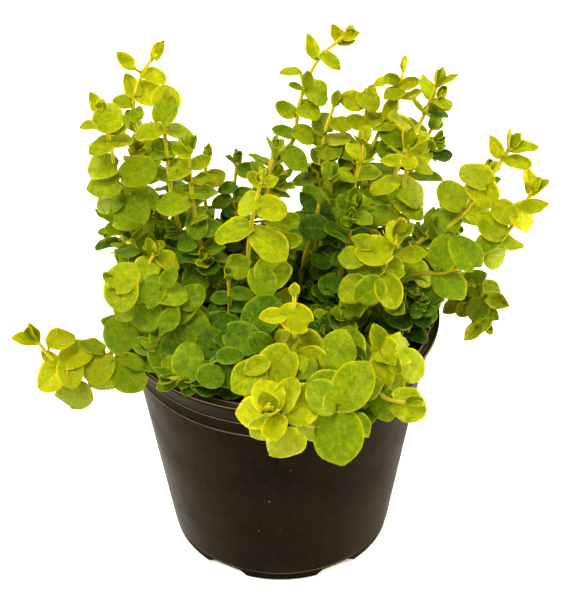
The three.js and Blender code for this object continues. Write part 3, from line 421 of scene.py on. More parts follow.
class Nodes:
    """The node tree of a material or a world, built by short calls."""

    def __init__(self, owner):
        owner.use_nodes = True
        self.owner = owner
        self.tree = owner.node_tree
        self.shader = self.tree.nodes.get("Principled BSDF")

    def add(self, kind, inputs, **settings):
        """A new node with its settings made and its inputs fed."""
        node = self.tree.nodes.new(kind)
        for key, value in settings.items():
            setattr(node, key, value)
        self.feed(node, inputs)
        return node

    def feed(self, node, inputs):
        """Gives each named or numbered input another node's output, a number, a vector or a colour."""
        for name, value in inputs.items():
            socket = node.inputs[name]
            if isinstance(value, bpy.types.NodeSocket):
                self.tree.links.new(value, socket)
            elif socket.type == "RGBA":
                socket.default_value = (*value, 1)
            else:
                socket.default_value = value

    def attribute(self, name, output="Fac"):
        return self.add("ShaderNodeAttribute", {}, attribute_name=name).outputs[output]

    def position(self):
        return self.add("ShaderNodeTexCoord", {}).outputs["Object"]

    def noise(self, scale, detail=4, roughness=0.6, vector=None):
        inputs = {"Scale": scale, "Detail": detail, "Roughness": roughness}
        inputs["Vector"] = vector or self.position()
        return self.add("ShaderNodeTexNoise", inputs).outputs["Fac"]

    def math(self, operation, *values):
        return self.add("ShaderNodeMath", dict(enumerate(values)), operation=operation).outputs[0]

    def times(self, first, second):
        return self.math("MULTIPLY", first, second)

    def spread(self, value, low, high, to_low=0, to_high=1):
        """The value, stretched from one range to another and held within it."""
        inputs = {"Value": value, "From Min": low, "From Max": high, "To Min": to_low, "To Max": to_high}
        return self.add("ShaderNodeMapRange", inputs).outputs[0]

    def varied(self, low, high, scale, detail=2):
        """A number that varies over the surface between two limits."""
        return self.spread(self.noise(scale, detail), 0.3, 0.7, low, high)

    def ramp(self, value, *stops):
        """A colour by value, from stops that give a value and the colour on screen there."""
        node = self.add("ShaderNodeValToRGB", {"Fac": value})
        elements = node.color_ramp.elements
        while len(elements) < len(stops):
            elements.new(0.5)
        for element, (place, *color) in zip(elements, stops):
            element.position = place
            element.color = (*srgb(*color), 1)
        return node.outputs["Color"]

    def mix(self, share, first, second):
        inputs = {"Factor": share, "A": first, "B": second}
        return self.add("ShaderNodeMix", inputs, data_type="RGBA").outputs["Result"]

    def bump(self, height, distance, strength=1):
        inputs = {"Height": height, "Distance": distance * MM, "Strength": strength}
        self.feed(self.shader, {"Normal": self.add("ShaderNodeBump", inputs).outputs["Normal"]})


def leaf_material():
    """Blades: deep green in the shade to yellow-lime in the light by their tone, which is partly painted
    shade, with pale veins and margins.
    """
    nodes = Nodes(bpy.data.materials.new("leaf"))
    place = nodes.add("ShaderNodeSeparateXYZ", {0: nodes.attribute("leaf_place", "Vector")})
    along, across, under = place.outputs
    side = nodes.math("ABSOLUTE", across)
    midrib = nodes.spread(side, 0, 0.07, 1, 0)
    swept = nodes.math("MULTIPLY_ADD", side, -0.42, along)
    swept = nodes.math("MULTIPLY_ADD", nodes.noise(500, 2), 0.12, swept)
    wave = nodes.math("SINE", nodes.times(swept, 2 * math.pi * SIDE_VEINS))
    veins = nodes.times(nodes.spread(wave, 0.75, 1), nodes.spread(side, 0.55, 0.85, 1, 0))
    lines = nodes.math("MAXIMUM", midrib, nodes.times(veins, 0.7))
    edge = nodes.math("MAXIMUM", nodes.spread(side, 0.75, 1), nodes.spread(along, 0.9, 1))
    margin = nodes.math("ADD", edge, nodes.spread(side, 0.9, 0.98))
    lighter = nodes.math("MULTIPLY_ADD", lines, 0.1, nodes.times(margin, 0.12))
    patches = nodes.math("SUBTRACT", nodes.noise(420, 4, 0.72), 0.54)
    grain = nodes.math("SUBTRACT", nodes.noise(1500, 3, 0.7), 0.5)
    mottled = nodes.math("MULTIPLY_ADD", patches, 0.7, nodes.attribute("tone"))
    mottled = nodes.math("MULTIPLY_ADD", grain, 0.35, mottled)
    color = nodes.ramp(nodes.math("ADD", mottled, lighter), (0, 20, 50, 10), (0.28, 70, 110, 14),
                       (0.52, 120, 148, 10), (0.76, 170, 179, 6), (1, 226, 212, 2))
    color = nodes.mix(nodes.times(under, 0.35), color, srgb(150, 164, 24))
    blotches = nodes.times(nodes.attribute("age"), nodes.spread(nodes.noise(420, 2), 0.52, 0.66))
    color = nodes.mix(blotches, color, srgb(120, 92, 24))
    nodes.feed(nodes.shader, {
        "Base Color": color,
        "Roughness": nodes.varied(0.36, 0.5, 900),
        "Specular IOR Level": 0.17,
        "Specular Tint": (1, 0.95, 0.3),
    })
    nodes.bump(nodes.math("MULTIPLY_ADD", nodes.noise(1500, 3), 0.35, nodes.times(lines, -0.8)), 0.24)

    # Light also comes through the thin blade from behind.
    through = nodes.add("ShaderNodeBsdfTranslucent", {"Color": color})
    both = nodes.add("ShaderNodeMixShader", {"Fac": 0.3, 1: nodes.shader.outputs[0], 2: through.outputs[0]})
    nodes.feed(nodes.tree.nodes["Material Output"], {"Surface": both.outputs[0]})
    return nodes.owner


def stem_material():
    """Stems: yellow-green where they are young, orange-brown towards the root, with fine streaks."""
    nodes = Nodes(bpy.data.materials.new("stem"))
    streaks = nodes.times(nodes.math("SUBTRACT", nodes.noise(700, 4), 0.5), 0.35)
    color = nodes.ramp(nodes.math("ADD", nodes.attribute("tone"), streaks), (0, 76, 56, 18),
                       (0.3, 118, 98, 16), (0.65, 156, 140, 12), (1, 188, 180, 14))
    roughness = nodes.varied(0.4, 0.6, 500)
    nodes.feed(nodes.shader, {"Base Color": color, "Roughness": roughness, "Specular IOR Level": 0.25})
    nodes.bump(nodes.noise(1200, 3), 0.08)
    return nodes.owner


def pot_material():
    """Black polypropylene: satin, a little brown, with dust specks, a mottled film and thin painted highlight
    lines, broken up, along its rim, beads and foot.
    """
    nodes = Nodes(bpy.data.materials.new("pot_plastic"))
    position = nodes.position()
    specks = nodes.add("ShaderNodeTexVoronoi", {"Vector": position, "Scale": 230}, feature="F1")
    lot = nodes.add("ShaderNodeSeparateColor", {0: specks.outputs["Color"]})
    chosen = nodes.spread(lot.outputs["Red"], 0.9, 1)
    dots = nodes.times(nodes.spread(specks.outputs["Distance"], 0.04, 0.12, 1, 0), chosen)
    film = nodes.math("MULTIPLY_ADD", nodes.noise(420, 5, 0.75), 0.6, nodes.times(nodes.noise(34, 5), 0.5))
    color = nodes.mix(nodes.spread(film, 0.42, 0.74), srgb(8, 6, 2), srgb(27, 21, 9))
    height = nodes.add("ShaderNodeSeparateXYZ", {0: position}).outputs["Z"]
    # Painted highlight: thin lighter lines at the rim's top edge, the foot and the two beads, broken up by
    # noise.
    painted_ridge_lines = 0
    for ridge in (POT_HEIGHT - 0.4, FOOT_HEIGHT, *(POT_HEIGHT - drop for drop in BEAD_DROPS)):
        off = nodes.math("ABSOLUTE", nodes.math("SUBTRACT", height, ridge * MM))
        painted_ridge_lines = nodes.math("MAXIMUM", nodes.spread(off, 0.1 * MM, 0.4 * MM, 1, 0), painted_ridge_lines)
    broken_ridge_highlight = nodes.times(painted_ridge_lines, nodes.spread(nodes.noise(55, 4), 0.3, 0.6, 0.25, 0.75))
    color = nodes.mix(broken_ridge_highlight, color, srgb(118, 106, 82))
    color = nodes.mix(nodes.times(dots, 0.6), color, srgb(150, 138, 110))
    nodes.feed(nodes.shader, {
        "Base Color": color,
        "Roughness": nodes.varied(0.3, 0.48, 60, 5),
        "Specular IOR Level": 0.01,
        "Specular Tint": (1, 0.8, 0.5),
        "Sheen Weight": 0.03,
        "Sheen Roughness": 0.35,
        "Sheen Tint": (1, 0.78, 0.45),
    })
    nodes.bump(nodes.math("MULTIPLY_ADD", nodes.noise(500, 4, 0.7), 0.5, nodes.noise(60, 3)), 0.3, 0.6)
    return nodes.owner


def soil_material():
    nodes = Nodes(bpy.data.materials.new("potting_mix_crumb"))
    crumbs = nodes.noise(900, 4, 0.7)
    value = nodes.math("MULTIPLY_ADD", crumbs, 0.6, nodes.times(nodes.noise(90, 4), 0.5))
    color = nodes.ramp(value, (0.3, 16, 11, 8), (0.5, 36, 26, 18), (0.68, 66, 47, 32), (0.85, 112, 84, 58))
    nodes.feed(nodes.shader, {"Base Color": color, "Roughness": 0.95})
    nodes.bump(nodes.noise(1400, 5, 0.7), 0.5)
    return nodes.owner


def bark_material():
    nodes = Nodes(bpy.data.materials.new("bark_chip"))
    inputs = {"Vector": nodes.position(), "Scale": (0.25, 1, 1), "Rotation": (0, 0, CHIP_TURN)}
    stretched = nodes.add("ShaderNodeMapping", inputs)
    grain = nodes.noise(900, 4, 0.7, stretched.outputs["Vector"])
    color = nodes.ramp(grain, (0.3, 58, 34, 18), (0.55, 116, 76, 42), (0.75, 160, 116, 74))
    nodes.feed(nodes.shader, {"Base Color": color, "Roughness": 0.85})
    nodes.bump(grain, 0.4)
    return nodes.owner


def floor_material():
    nodes = Nodes(bpy.data.materials.new("floor"))
    nodes.feed(nodes.shader, {
        "Base Color": nodes.mix(nodes.noise(3, 2), srgb(250, 250, 249), srgb(253, 253, 252)),
        "Roughness": 0.8,
        "Emission Color": (1, 1, 1),
        "Emission Strength": 0.35,
    })
    return nodes.owner


# ---- Pot ----


def turned(profile, segments):
    """Points and faces of a profile of (radius, height) from the axis and back to it, turned about Z."""
    points = []
    for radius, height in profile[1:-1]:
        points += ring(radius, height, segments)
    faces = []
    for low in range(0, len(points) - segments, segments):
        faces += band(low + segments, low, segments)
    start, end = len(points), len(points) + 1
    for k in range(segments):
        after = (k + 1) % segments
        faces += [[start, after, k], [end, start - segments + k, start - segments + after]]
    points += [(0, 0, profile[0][1]), (0, 0, profile[-1][1])]
    return points, faces


def rounded(profile, radius):
    """The profile with each corner between its ends rounded, by no more than a third of its two sides."""
    points = [Vector(point) for point in profile]
    result = [points[0]]
    for before, corner, after in zip(points, points[1:], points[2:]):
        cut = min(radius, (before - corner).length / 3, (after - corner).length / 3)
        start = corner + (before - corner).normalized() * cut
        end = corner + (after - corner).normalized() * cut
        for share in (0, 1 / 3, 2 / 3, 1):
            result.append(start.lerp(corner, share).lerp(corner.lerp(end, share), share))
    return [*result, points[-1]]


def pot_profile():
    foot = BASE_RADIUS - FOOT_INSET
    outer = [(0, 0), (foot - 2, 0), (foot, 0.8), (foot, FOOT_HEIGHT - FOOT_INSET), (BASE_RADIUS, FOOT_HEIGHT)]
    for drop in BEAD_DROPS:
        middle = POT_HEIGHT - drop
        outer += [(wall_radius(middle + up) + BEAD - abs(up), middle + up) for up in (-BEAD, 0, BEAD)]
    outer += [(RIM_RADIUS, POT_HEIGHT - 1.6), (RIM_RADIUS, POT_HEIGHT)]
    outer += [(RIM_RADIUS - 1.1, POT_HEIGHT), (RIM_RADIUS - 1.5, POT_HEIGHT - 0.6)]
    lip = RIM_RADIUS - RIM_WIDTH
    inside = [(lip + 0.6, POT_HEIGHT - 0.8), (lip + 0.1, POT_HEIGHT - 0.3), (lip - 0.5, POT_HEIGHT - 0.5),
              (lip - 0.9, POT_HEIGHT - 5), (SHOULDER_RADIUS - WALL, SHOULDER_HEIGHT)]
    return rounded([*outer, *inside, (foot - WALL, FLOOR), (0, FLOOR)], 0.35)


def notch_bar(angle):
    """A round bar that lies out through the foot of the wall and cuts a notch into it."""
    radius = (NOTCH_WIDTH**2 / 4 + NOTCH_HEIGHT**2) / (2 * NOTCH_HEIGHT)
    out = np.array([math.cos(angle), math.sin(angle)])
    side = np.array([-math.sin(angle), math.cos(angle)])
    points = []
    for reach in NOTCH_REACH:
        for across, up, _ in ring(radius, 0, NOTCH_SIDES):
            points.append((*(reach * out + across * side), up + NOTCH_HEIGHT - radius))
    start, end = range(NOTCH_SIDES), range(NOTCH_SIDES, 2 * NOTCH_SIDES)
    faces = [*band(NOTCH_SIDES, 0, NOTCH_SIDES), list(start)[::-1], list(end)]
    return make_object("notch", points, faces, [], smooth=False)


def make_pot():
    pot = make_object("pot", *turned(pot_profile(), POT_SEGMENTS), [pot_material()])
    bars = [notch_bar(i * 2 * math.pi / NOTCH_COUNT) for i in range(NOTCH_COUNT)]
    for bar in bars:
        cut = pot.modifiers.new(bar.name, "BOOLEAN")
        cut.operation, cut.solver, cut.object = "DIFFERENCE", "EXACT", bar
    bake_modifiers(pot)
    for bar in bars:
        bpy.data.objects.remove(bar)
    pot.data.set_sharp_from_angle(angle=math.radians(35))
    return pot


def bake_modifiers(piece):
    """Replaces a piece's mesh by what its modifiers make of it."""
    bpy.context.view_layer.update()
    depsgraph = bpy.context.evaluated_depsgraph_get()
    mesh = bpy.data.meshes.new_from_object(piece.evaluated_get(depsgraph))
    piece.modifiers.clear()
    piece.data = mesh


# ---- Potting mix ----


def make_soil():
    rings, segments = 70, 220
    edge = wall_radius(SOIL_EDGE) - WALL - SOIL_GAP
    points = []
    for i in range(rings + 1):
        radius = edge * i / rings
        for x, y, _ in ring(radius, 0, segments if i else 1):
            lumps = noise.fractal(Vector((x, y, 0)) * 0.12, 0.9, 2.1, 5) * 1.5
            clods = noise.noise(Vector((x, y, 9)) * 0.55) * 0.9
            points.append((x, y, soil_height(x, y) + (lumps + clods) * min(1, (edge - radius) / 3)))
    faces = [[0, 1 + k, 1 + (k + 1) % segments] for k in range(segments)]
    for i in range(rings - 1):
        faces += band(1 + i * segments, 1 + (i + 1) * segments, segments)
    sides = [(wall_radius(height) - WALL - SOIL_GAP, height) for height in (80, 50, 20, FOOT_HEIGHT)]
    sides += [(BASE_RADIUS - FOOT_INSET - WALL - 0.2, FLOOR + 0.2)]
    for radius, height in sides:
        faces += band(len(points) - segments, len(points), segments)
        points += ring(radius, height, segments)
    faces.append([len(points) - 1 - k for k in range(segments)])
    return make_object("potting_mix_top", points, faces, [soil_material()])


def make_crumbs():
    """Loose crumbs and short fibres of the mix, as one piece."""
    chance = random.Random(5)
    corners = np.array([(1, 0, 0), (-1, 0, 0), (0, 1, 0), (0, -1, 0), (0, 0, 1), (0, 0, -1)], float)
    sides = np.array([(0, 2, 4), (2, 1, 4), (1, 3, 4), (3, 0, 4), (2, 0, 5), (1, 2, 5), (3, 1, 5), (0, 3, 5)])
    points, faces = [], []
    edge = wall_radius(SOIL_EDGE) - WALL - 1.5
    for i in range(CRUMB_COUNT):
        radius, angle = edge * math.sqrt(chance.random()), chance.random() * 2 * math.pi
        x, y = radius * math.cos(angle), radius * math.sin(angle)
        size = 0.5 + 1.5 * chance.random() ** 3
        stretch = 3.5 if i % 7 == 0 else 1
        turn = Vector((chance.random(), chance.random(), chance.random())).normalized()
        long = turn.orthogonal().normalized()
        thin = math.sqrt(stretch)
        axes = np.array([long * stretch, turn.cross(long) / thin, turn / thin])
        rough = np.array([[0.7 + 0.6 * chance.random()] for _ in corners])
        middle = (x, y, soil_height(x, y) + 0.3 * size + chance.random())
        points.append(corners * rough * size @ axes + middle)
        faces.append(sides + len(corners) * i)
    points, faces = np.concatenate(points), np.concatenate(faces)
    return make_object("potting_mix_crumbs", points, faces, [soil_material()], smooth=False)


def make_chip():
    """The chip of bark, as its CAD outline with broken edges and a raised grain."""
    low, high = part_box("bark_chip")
    middle = (low + high) / 2 / MM
    length, width, thickness = CHIP_SIZE
    rows, columns = 22, 10
    points = []
    for upper in (1, -1):
        for u in np.arange(rows) * 2 / (rows - 1) - 1:
            for v in np.arange(columns) * 2 / (columns - 1) - 1:
                reach = 1 - 0.25 * abs(v) ** 3 + 0.12 * noise.noise(Vector((v * 3, upper, 2)))
                x = u * length / 2 * reach
                y = v * width / 2 * (1 - 0.4 * u * u) * (1 + 0.12 * noise.noise(Vector((u * 4, 0, 4))))
                edge = math.sqrt(max(0, (1 - u**4) * (1 - v**4)))
                z = upper * thickness / 2 * edge + 0.35 * upper * noise.noise(Vector((u * 2, v * 7, upper)))
                turned_x = x * math.cos(CHIP_TURN) - y * math.sin(CHIP_TURN)
                turned_y = x * math.sin(CHIP_TURN) + y * math.cos(CHIP_TURN)
                points.append(middle + Vector((turned_x, turned_y, z + 0.5 * math.sin(u * 1.3))))
    return make_object("bark_chip_detail", points, shell_faces(rows, columns), [bark_material()])


def shell_faces(rows, columns):
    """Quads of two grids of rows by columns points, one over the other, closed round their edge."""
    def edge(grid):
        return np.concatenate([grid[:-1, 0], grid[-1, :-1], grid[:0:-1, -1], grid[0, :0:-1]])
    upper, lower = np.arange(2 * rows * columns).reshape(2, rows, columns)
    top = np.stack([upper[:-1, :-1], upper[1:, :-1], upper[1:, 1:], upper[:-1, 1:]], -1).reshape(-1, 4)
    base = np.stack([lower[:-1, :-1], lower[:-1, 1:], lower[1:, 1:], lower[1:, :-1]], -1).reshape(-1, 4)
    high, low = edge(upper), edge(lower)
    rim = np.stack([high, low, np.roll(low, -1), np.roll(high, -1)], -1)
    return np.concatenate([top, base, rim])


# ---- Growth ----


def smooth_route(points):
    """A uniform Catmull-Rom curve through the points, as close samples with the distance along it."""
    points = [np.array(point, float) for point in points]
    points = [2 * points[0] - points[1], *points, 2 * points[-1] - points[-2]]
    samples = []
    for a, b, c, d in zip(points, points[1:], points[2:], points[3:]):
        square, cube = 2 * a - 5 * b + 4 * c - d, 3 * b - a - 3 * c + d
        for t in np.arange(ROUTE_STEPS) / ROUTE_STEPS:
            samples.append(0.5 * (2 * b + (c - a) * t + square * t**2 + cube * t**3))
    samples.append(points[-2])
    samples = np.array(samples)
    distance = np.concatenate([[0], np.cumsum(np.linalg.norm(np.diff(samples, axis=0), axis=1))])
    return samples, distance


class Stem:
    """A stem's route, read by the distance from its foot, its radii at foot and tip, and what grows on it."""

    def __init__(self, points, radii):
        self.samples, self.distance = smooth_route(points)
        self.length = self.distance[-1]
        self.radii = radii
        self.nodes = []
        self.branches = []
        self.set_from = self.length  # where the lowest of its set leaves stands

    def place(self, distance):
        return np.array([np.interp(distance, self.distance, self.samples[:, k]) for k in range(3)])

    def along(self, distance):
        step = self.place(min(distance + 1, self.length)) - self.place(max(distance - 1, 0))
        return Vector(step).normalized()


class Crown:
    """All the leaves placed so far, as flat round blades to keep clear of."""

    def __init__(self):
        self.leaves = []
        self.centres = np.zeros((0, 3))
        self.faces = np.zeros((0, 3))
        self.radii = np.zeros(0)
        self.owners = np.zeros((0, 2), int)
        self.stems = []

    def add_stem(self, stem, owner):
        self.stems.append((stem.samples[::4], owner))

    def add(self, leaf):
        self.leaves.append(leaf)
        self.centres = np.vstack([self.centres, leaf["centre"]])
        self.faces = np.vstack([self.faces, leaf["face"]])
        self.radii = np.append(self.radii, leaf["blade"] / 2)
        self.owners = np.vstack([self.owners, [leaf["owner"], leaf["pair"]]])

    def has_room(self, leaf):
        return not (self.meets_pot(leaf) or self.meets_leaf(leaf) or self.meets_stem(leaf))

    def meets_leaf(self, leaf):
        """Whether the blade cuts another's disc. A pair's two blades may meet, and those of a young tip."""
        owners, pairs = self.owners.T
        radius = leaf["blade"] / 2 * DISC_SHARE
        between = self.centres - np.array(leaf["centre"])
        near = (between**2).sum(1) < (self.radii + radius) ** 2
        young = np.maximum(pairs, leaf["pair"]) <= YOUNG_PAIR
        near &= (owners != leaf["owner"]) | ~((pairs == leaf["pair"]) | young)
        between, faces, radii = between[near], self.faces[near], self.radii[near] * DISC_SHARE
        face = np.array(leaf["face"])
        line = np.cross(faces, face)
        sine = np.linalg.norm(line, axis=1)
        to_other = np.abs((between * faces).sum(1))
        to_own = np.abs(between @ face)
        flat = (sine < FLAT_SINE) & (np.minimum(to_other, to_own) < FLAT_GAP)
        sine = np.maximum(sine, FLAT_SINE)
        own_chord = radius**2 - (to_other / sine) ** 2
        other_chord = radii**2 - (to_own / sine) ** 2
        apart = np.abs((between * line).sum(1)) / sine
        reach = np.sqrt(np.maximum(own_chord, 0)) + np.sqrt(np.maximum(other_chord, 0))
        crossing = (own_chord > 0) & (other_chord > 0) & (apart < reach)
        return bool((flat | crossing).any())

    def meets_stem(self, leaf):
        centre, face = np.array(leaf["centre"]), np.array(leaf["face"])
        radius = leaf["blade"] / 2 + 0.6
        for points, owner in self.stems:
            if owner == leaf["owner"]:
                continue
            offset = points - centre
            if (offset**2).sum(1).min() > (radius + 8) ** 2:
                continue
            height = np.abs(offset @ face)
            for i in range(len(points) - 1):
                if min(height[i], height[i + 1]) > 6:
                    continue
                run = np.linspace(offset[i], offset[i + 1], 5)
                if ((np.abs(run @ face) < STEM_GAP) & ((run**2).sum(1) < radius**2)).any():
                    return True
        return False

    def meets_pot(self, leaf):
        centre, out = np.array(leaf["centre"]), np.array(leaf["out"])
        side = np.cross(np.array(leaf["face"]), out)
        for share in (0, 0.6, 1):
            for along, across, _ in ring(share * leaf["blade"] / 2, 0, 12):
                x, y, z = centre + along * out + across * side
                radius = math.hypot(x, y)
                if z > POT_HEIGHT + POT_GAP or radius > wall_radius(max(z, 0)) + POT_GAP:
                    continue
                if z < soil_height(x, y) + MIX_GAP or radius > wall_radius(z) - WALL - 2:
                    return True
        return False


def leaf_frame(place, along, turn, rise, blade, light):
    """Where a leaf leaves its stem, the way its blade points and the way its face looks."""
    side = along.cross(Vector((0, 0, 1)))
    side = side.normalized() if side.length > 0.02 else Vector((1, 0, 0))
    outward = side * math.cos(turn) + side.cross(along) * math.sin(turn)
    out = outward * math.cos(rise) + along * math.sin(rise)
    face = (along * math.cos(rise) - outward * math.sin(rise)) * (1 - light) + LIGHT * light
    face = (face - out * face.dot(out)).normalized()
    centre = Vector(place) + out * blade * (PETIOLE_SHARE + 0.5)
    return {"place": place, "out": out, "face": face, "centre": centre, "blade": blade}


def in_order(values, pair):
    return values[min(pair, len(values) - 1)]


def grow(crown, stem, owner, seed, pairs, gap, opening, blade, light, spin, bare, side_shoots):
    """Adds a stem's leaves from its tip down, and side shoots in the axils of its older leaves."""
    chance = random.Random(seed)
    gaps = (TIP_GAP, opening, opening, (1 + opening) / 2, 1)
    distance = stem.length - 0.3
    pair = 0
    while distance > bare:
        place, along = stem.place(distance), stem.along(distance)
        turned_by = (math.radians(spin) + pair * math.pi / 2) * along.z**2
        stem.nodes.append(distance)
        for side in (0, math.pi):
            size = blade * in_order(PAIR_BLADES, pair) * chance.uniform(0.88, 1.1)
            turn = side + turned_by + math.radians(chance.uniform(-15, 15))
            rise = math.radians(in_order(PAIR_RISES, pair) + chance.uniform(-10, 10))
            spare = chance.random()
            for more_turn, more_rise, share in TRIES:
                turns = (turn + math.radians(more_turn), rise + math.radians(more_rise))
                leaf = leaf_frame(place, along, *turns, size * share, light)
                leaf.update(owner=owner, pair=pair, seed=chance.random(), stem=stem)
                leaf["down"] = stem.length - distance
                if crown.has_room(leaf):
                    crown.add(leaf)
                    break
            if pair >= 3 and spare < side_shoots:
                grow_side_shoot(crown, stem, leaf, chance, distance)
        distance -= gap * in_order(gaps, pair)
        pair += 1
        if pair == pairs:
            distance = min(distance, stem.set_from - gap / 2)


def grow_side_shoot(crown, parent, leaf, chance, distance):
    """A short leafy shoot in the axil of a leaf."""
    heading = (leaf["out"] * 0.8 + parent.along(distance) * 0.7 + LIGHT * 0.3).normalized()
    length = chance.uniform(5, 10)
    start = Vector(leaf["place"])
    stem = Stem([start, start + heading * length / 2, start + (heading + LIGHT * 0.25) * length], (0.6, 0.4))
    stem.tone, stem.age = parent.tone, parent.age
    parent.branches.append(stem)
    owner = leaf["owner"] + 1000 * len(crown.leaves)
    seed, blade, spin = chance.random(), chance.uniform(7, 10), chance.uniform(0, 180)
    grow(crown, stem, owner, seed, ALL_PAIRS, 4.2, 0.5, blade, 0.35, spin, bare=1.5, side_shoots=0)


def place_leaves(crown, stem, owner, rows):
    """Adds leaves where they are set, each from the stem's nearest node."""
    chance = random.Random(owner)
    for x, y, z, blade, yaw, pitch in rows:
        centre = Vector((x, y, z))
        yaw = math.radians(yaw + chance.uniform(-7, 7))
        pitch = math.radians(pitch + chance.uniform(-7, 7))
        level = math.cos(pitch)
        face = Vector((math.sin(yaw) * level, -math.cos(yaw) * level, math.sin(pitch)))
        nearest = np.argmin(((stem.samples - np.array(centre)) ** 2).sum(1))
        node = max(3, stem.distance[nearest] - 0.2 * blade)
        stem.nodes.append(node)
        stem.set_from = min(stem.set_from, node)
        place = Vector(stem.place(node))
        out = centre - place
        out = (out - face * out.dot(face)).normalized()
        leaf = {"place": place, "out": out, "face": face, "centre": centre, "blade": blade}
        leaf.update(owner=owner, pair=1 if blade < 10 else 4, seed=chance.random(), stem=stem)
        leaf["down"] = stem.length - node
        crown.add(leaf)


def shade(crown):
    """For each leaf, how many others stand between it and the light, nearer ones counting more."""
    light = np.array(OVERHEAD)
    result = []
    for centre, owner in zip(crown.centres, crown.owners):
        between = crown.centres - centre
        height = between @ light
        aside = np.sqrt(np.maximum((between**2).sum(1) - height**2, 0))
        covers = (height > 1.5) & (aside < crown.radii * 1.15) & (crown.owners[:, 0] != owner[0])
        result.append(np.exp(-height[covers] / COVER_REACH).sum())
    return np.array(result)


# ---- Leaves and stems as meshes ----


def leaf_points(leaf):
    """A leaf's two sheets of points, from the petiole's foot to the tip, and their place on the blade."""
    chance = random.Random(leaf["seed"])
    blade, pair = leaf["blade"], leaf["pair"]
    width = blade * in_order(PAIR_WIDTHS, pair) * chance.uniform(0.86, 1.05)
    petiole = blade * PETIOLE_SHARE
    point = POINTS[pair > YOUNG_PAIR] * chance.random()
    skew = chance.uniform(-0.05, 0.05)
    angle = np.linspace(0.09, 0.98, BLADE_ROWS) * math.pi
    share = (1 - np.cos(angle)) / 2
    half = width / 2 * np.sin(angle) ** 0.88 * (1 + chance.uniform(-0.02, 0.16) * np.cos(angle))
    x = np.concatenate([[0.2, 0.75 * petiole], petiole + blade * share])[:, None]
    half = np.concatenate([[0.5, 0.42], half])[:, None]
    share = np.concatenate([[-0.15, -0.05], share])[:, None]
    across = np.linspace(-1, 1, COLUMNS)[None, :]
    lobes = 0.1 * blade * across**2 * np.clip(1 - share, 0, 1) ** 4 * (share > 0)
    y = half * across
    x = x - lobes + skew * np.sin(np.clip(share, 0, 1) * math.pi) * across * blade
    x = x + point * blade * np.exp(-((y / (0.2 * width)) ** 2)) * np.clip(share, 0, 1) ** 8

    cup = in_order(PAIR_CUPS, pair) + chance.uniform(-0.5, 0.8)
    bend = in_order(PAIR_BENDS, pair) + chance.uniform(-0.65, 0.5)
    wave = chance.uniform(0.02, 0.08) * width
    phase = chance.uniform(0, 6.3)
    z = wave * across**2 * np.sin(chance.uniform(6, 11) * share + phase + across) * (share > 0)
    z = z - 0.035 * width * np.exp(-((across / 0.2) ** 2)) * np.sin(np.clip(share, 0, 1) * math.pi)
    if abs(cup) > 1e-3:
        curve = width / cup
        z = z + curve * (1 - np.cos(y / curve))
        y = curve * np.sin(y / curve)
    if abs(bend) > 1e-3:
        curve = blade / bend
        lean = x / curve
        x, z = (curve - z) * np.sin(lean), curve - (curve - z) * np.cos(lean)

    x, y, z = np.broadcast_arrays(x, y, z)
    upper = np.stack([x, y, z], -1)
    normal = np.cross(np.gradient(upper, axis=0), np.gradient(upper, axis=1))
    normal /= np.maximum(np.linalg.norm(normal, axis=-1, keepdims=True), 1e-9)
    thickness = LEAF_THICKNESS * (1 - 0.55 * across**2) + 0.5 * (share < 0)
    lower = upper - normal * thickness[..., None]
    points = np.stack([upper, lower])
    out, face = np.array(leaf["out"]), np.array(leaf["face"])
    axes = np.stack([out, np.cross(face, out), face])
    place = np.stack(np.broadcast_arrays(np.clip(share, 0, 1), across, 0), -1)
    places = np.stack([place, place + (0, 0, 1)])
    start = leaf["centre"] - leaf["out"] * (petiole + blade / 2)
    points = points @ axes + start
    points[:, 0] += leaf["place"] - start
    points[:, 1] += (leaf["place"] - start) * 0.3
    return points.reshape(-1, 3), places.reshape(-1, 3)


def stem_points(stem):
    """Points and faces of a stem, a little four-angled and swollen at its nodes."""
    steps = max(3, round(stem.length / STEM_STEP))
    rings = []
    side = stem.along(0).orthogonal().normalized()
    foot, tip = stem.radii
    angles = np.arange(STEM_SIDES)[:, None] * 2 * math.pi / STEM_SIDES
    for step in range(steps + 1):
        distance = stem.length * step / steps
        along = stem.along(distance)
        side = (side - along * side.dot(along)).normalized()
        radius = foot + (tip - foot) * (step / steps) ** 0.8
        swelling = sum(math.exp(-(((distance - node) / NODE_LENGTH) ** 2)) for node in stem.nodes)
        radius *= 1 + NODE_SWELLING * min(swelling, 1)
        around = np.cos(angles) * np.array(side) + np.sin(angles) * np.array(along.cross(side))
        rings.append(stem.place(distance) + radius * (1 + 0.08 * np.cos(4 * angles)) * around)
    faces = []
    for low in range(0, steps * STEM_SIDES, STEM_SIDES):
        faces += band(low + STEM_SIDES, low, STEM_SIDES)
    faces.append(list(range(STEM_SIDES))[::-1])
    faces.append([steps * STEM_SIDES + k for k in range(STEM_SIDES)])
    return np.concatenate(rings), faces


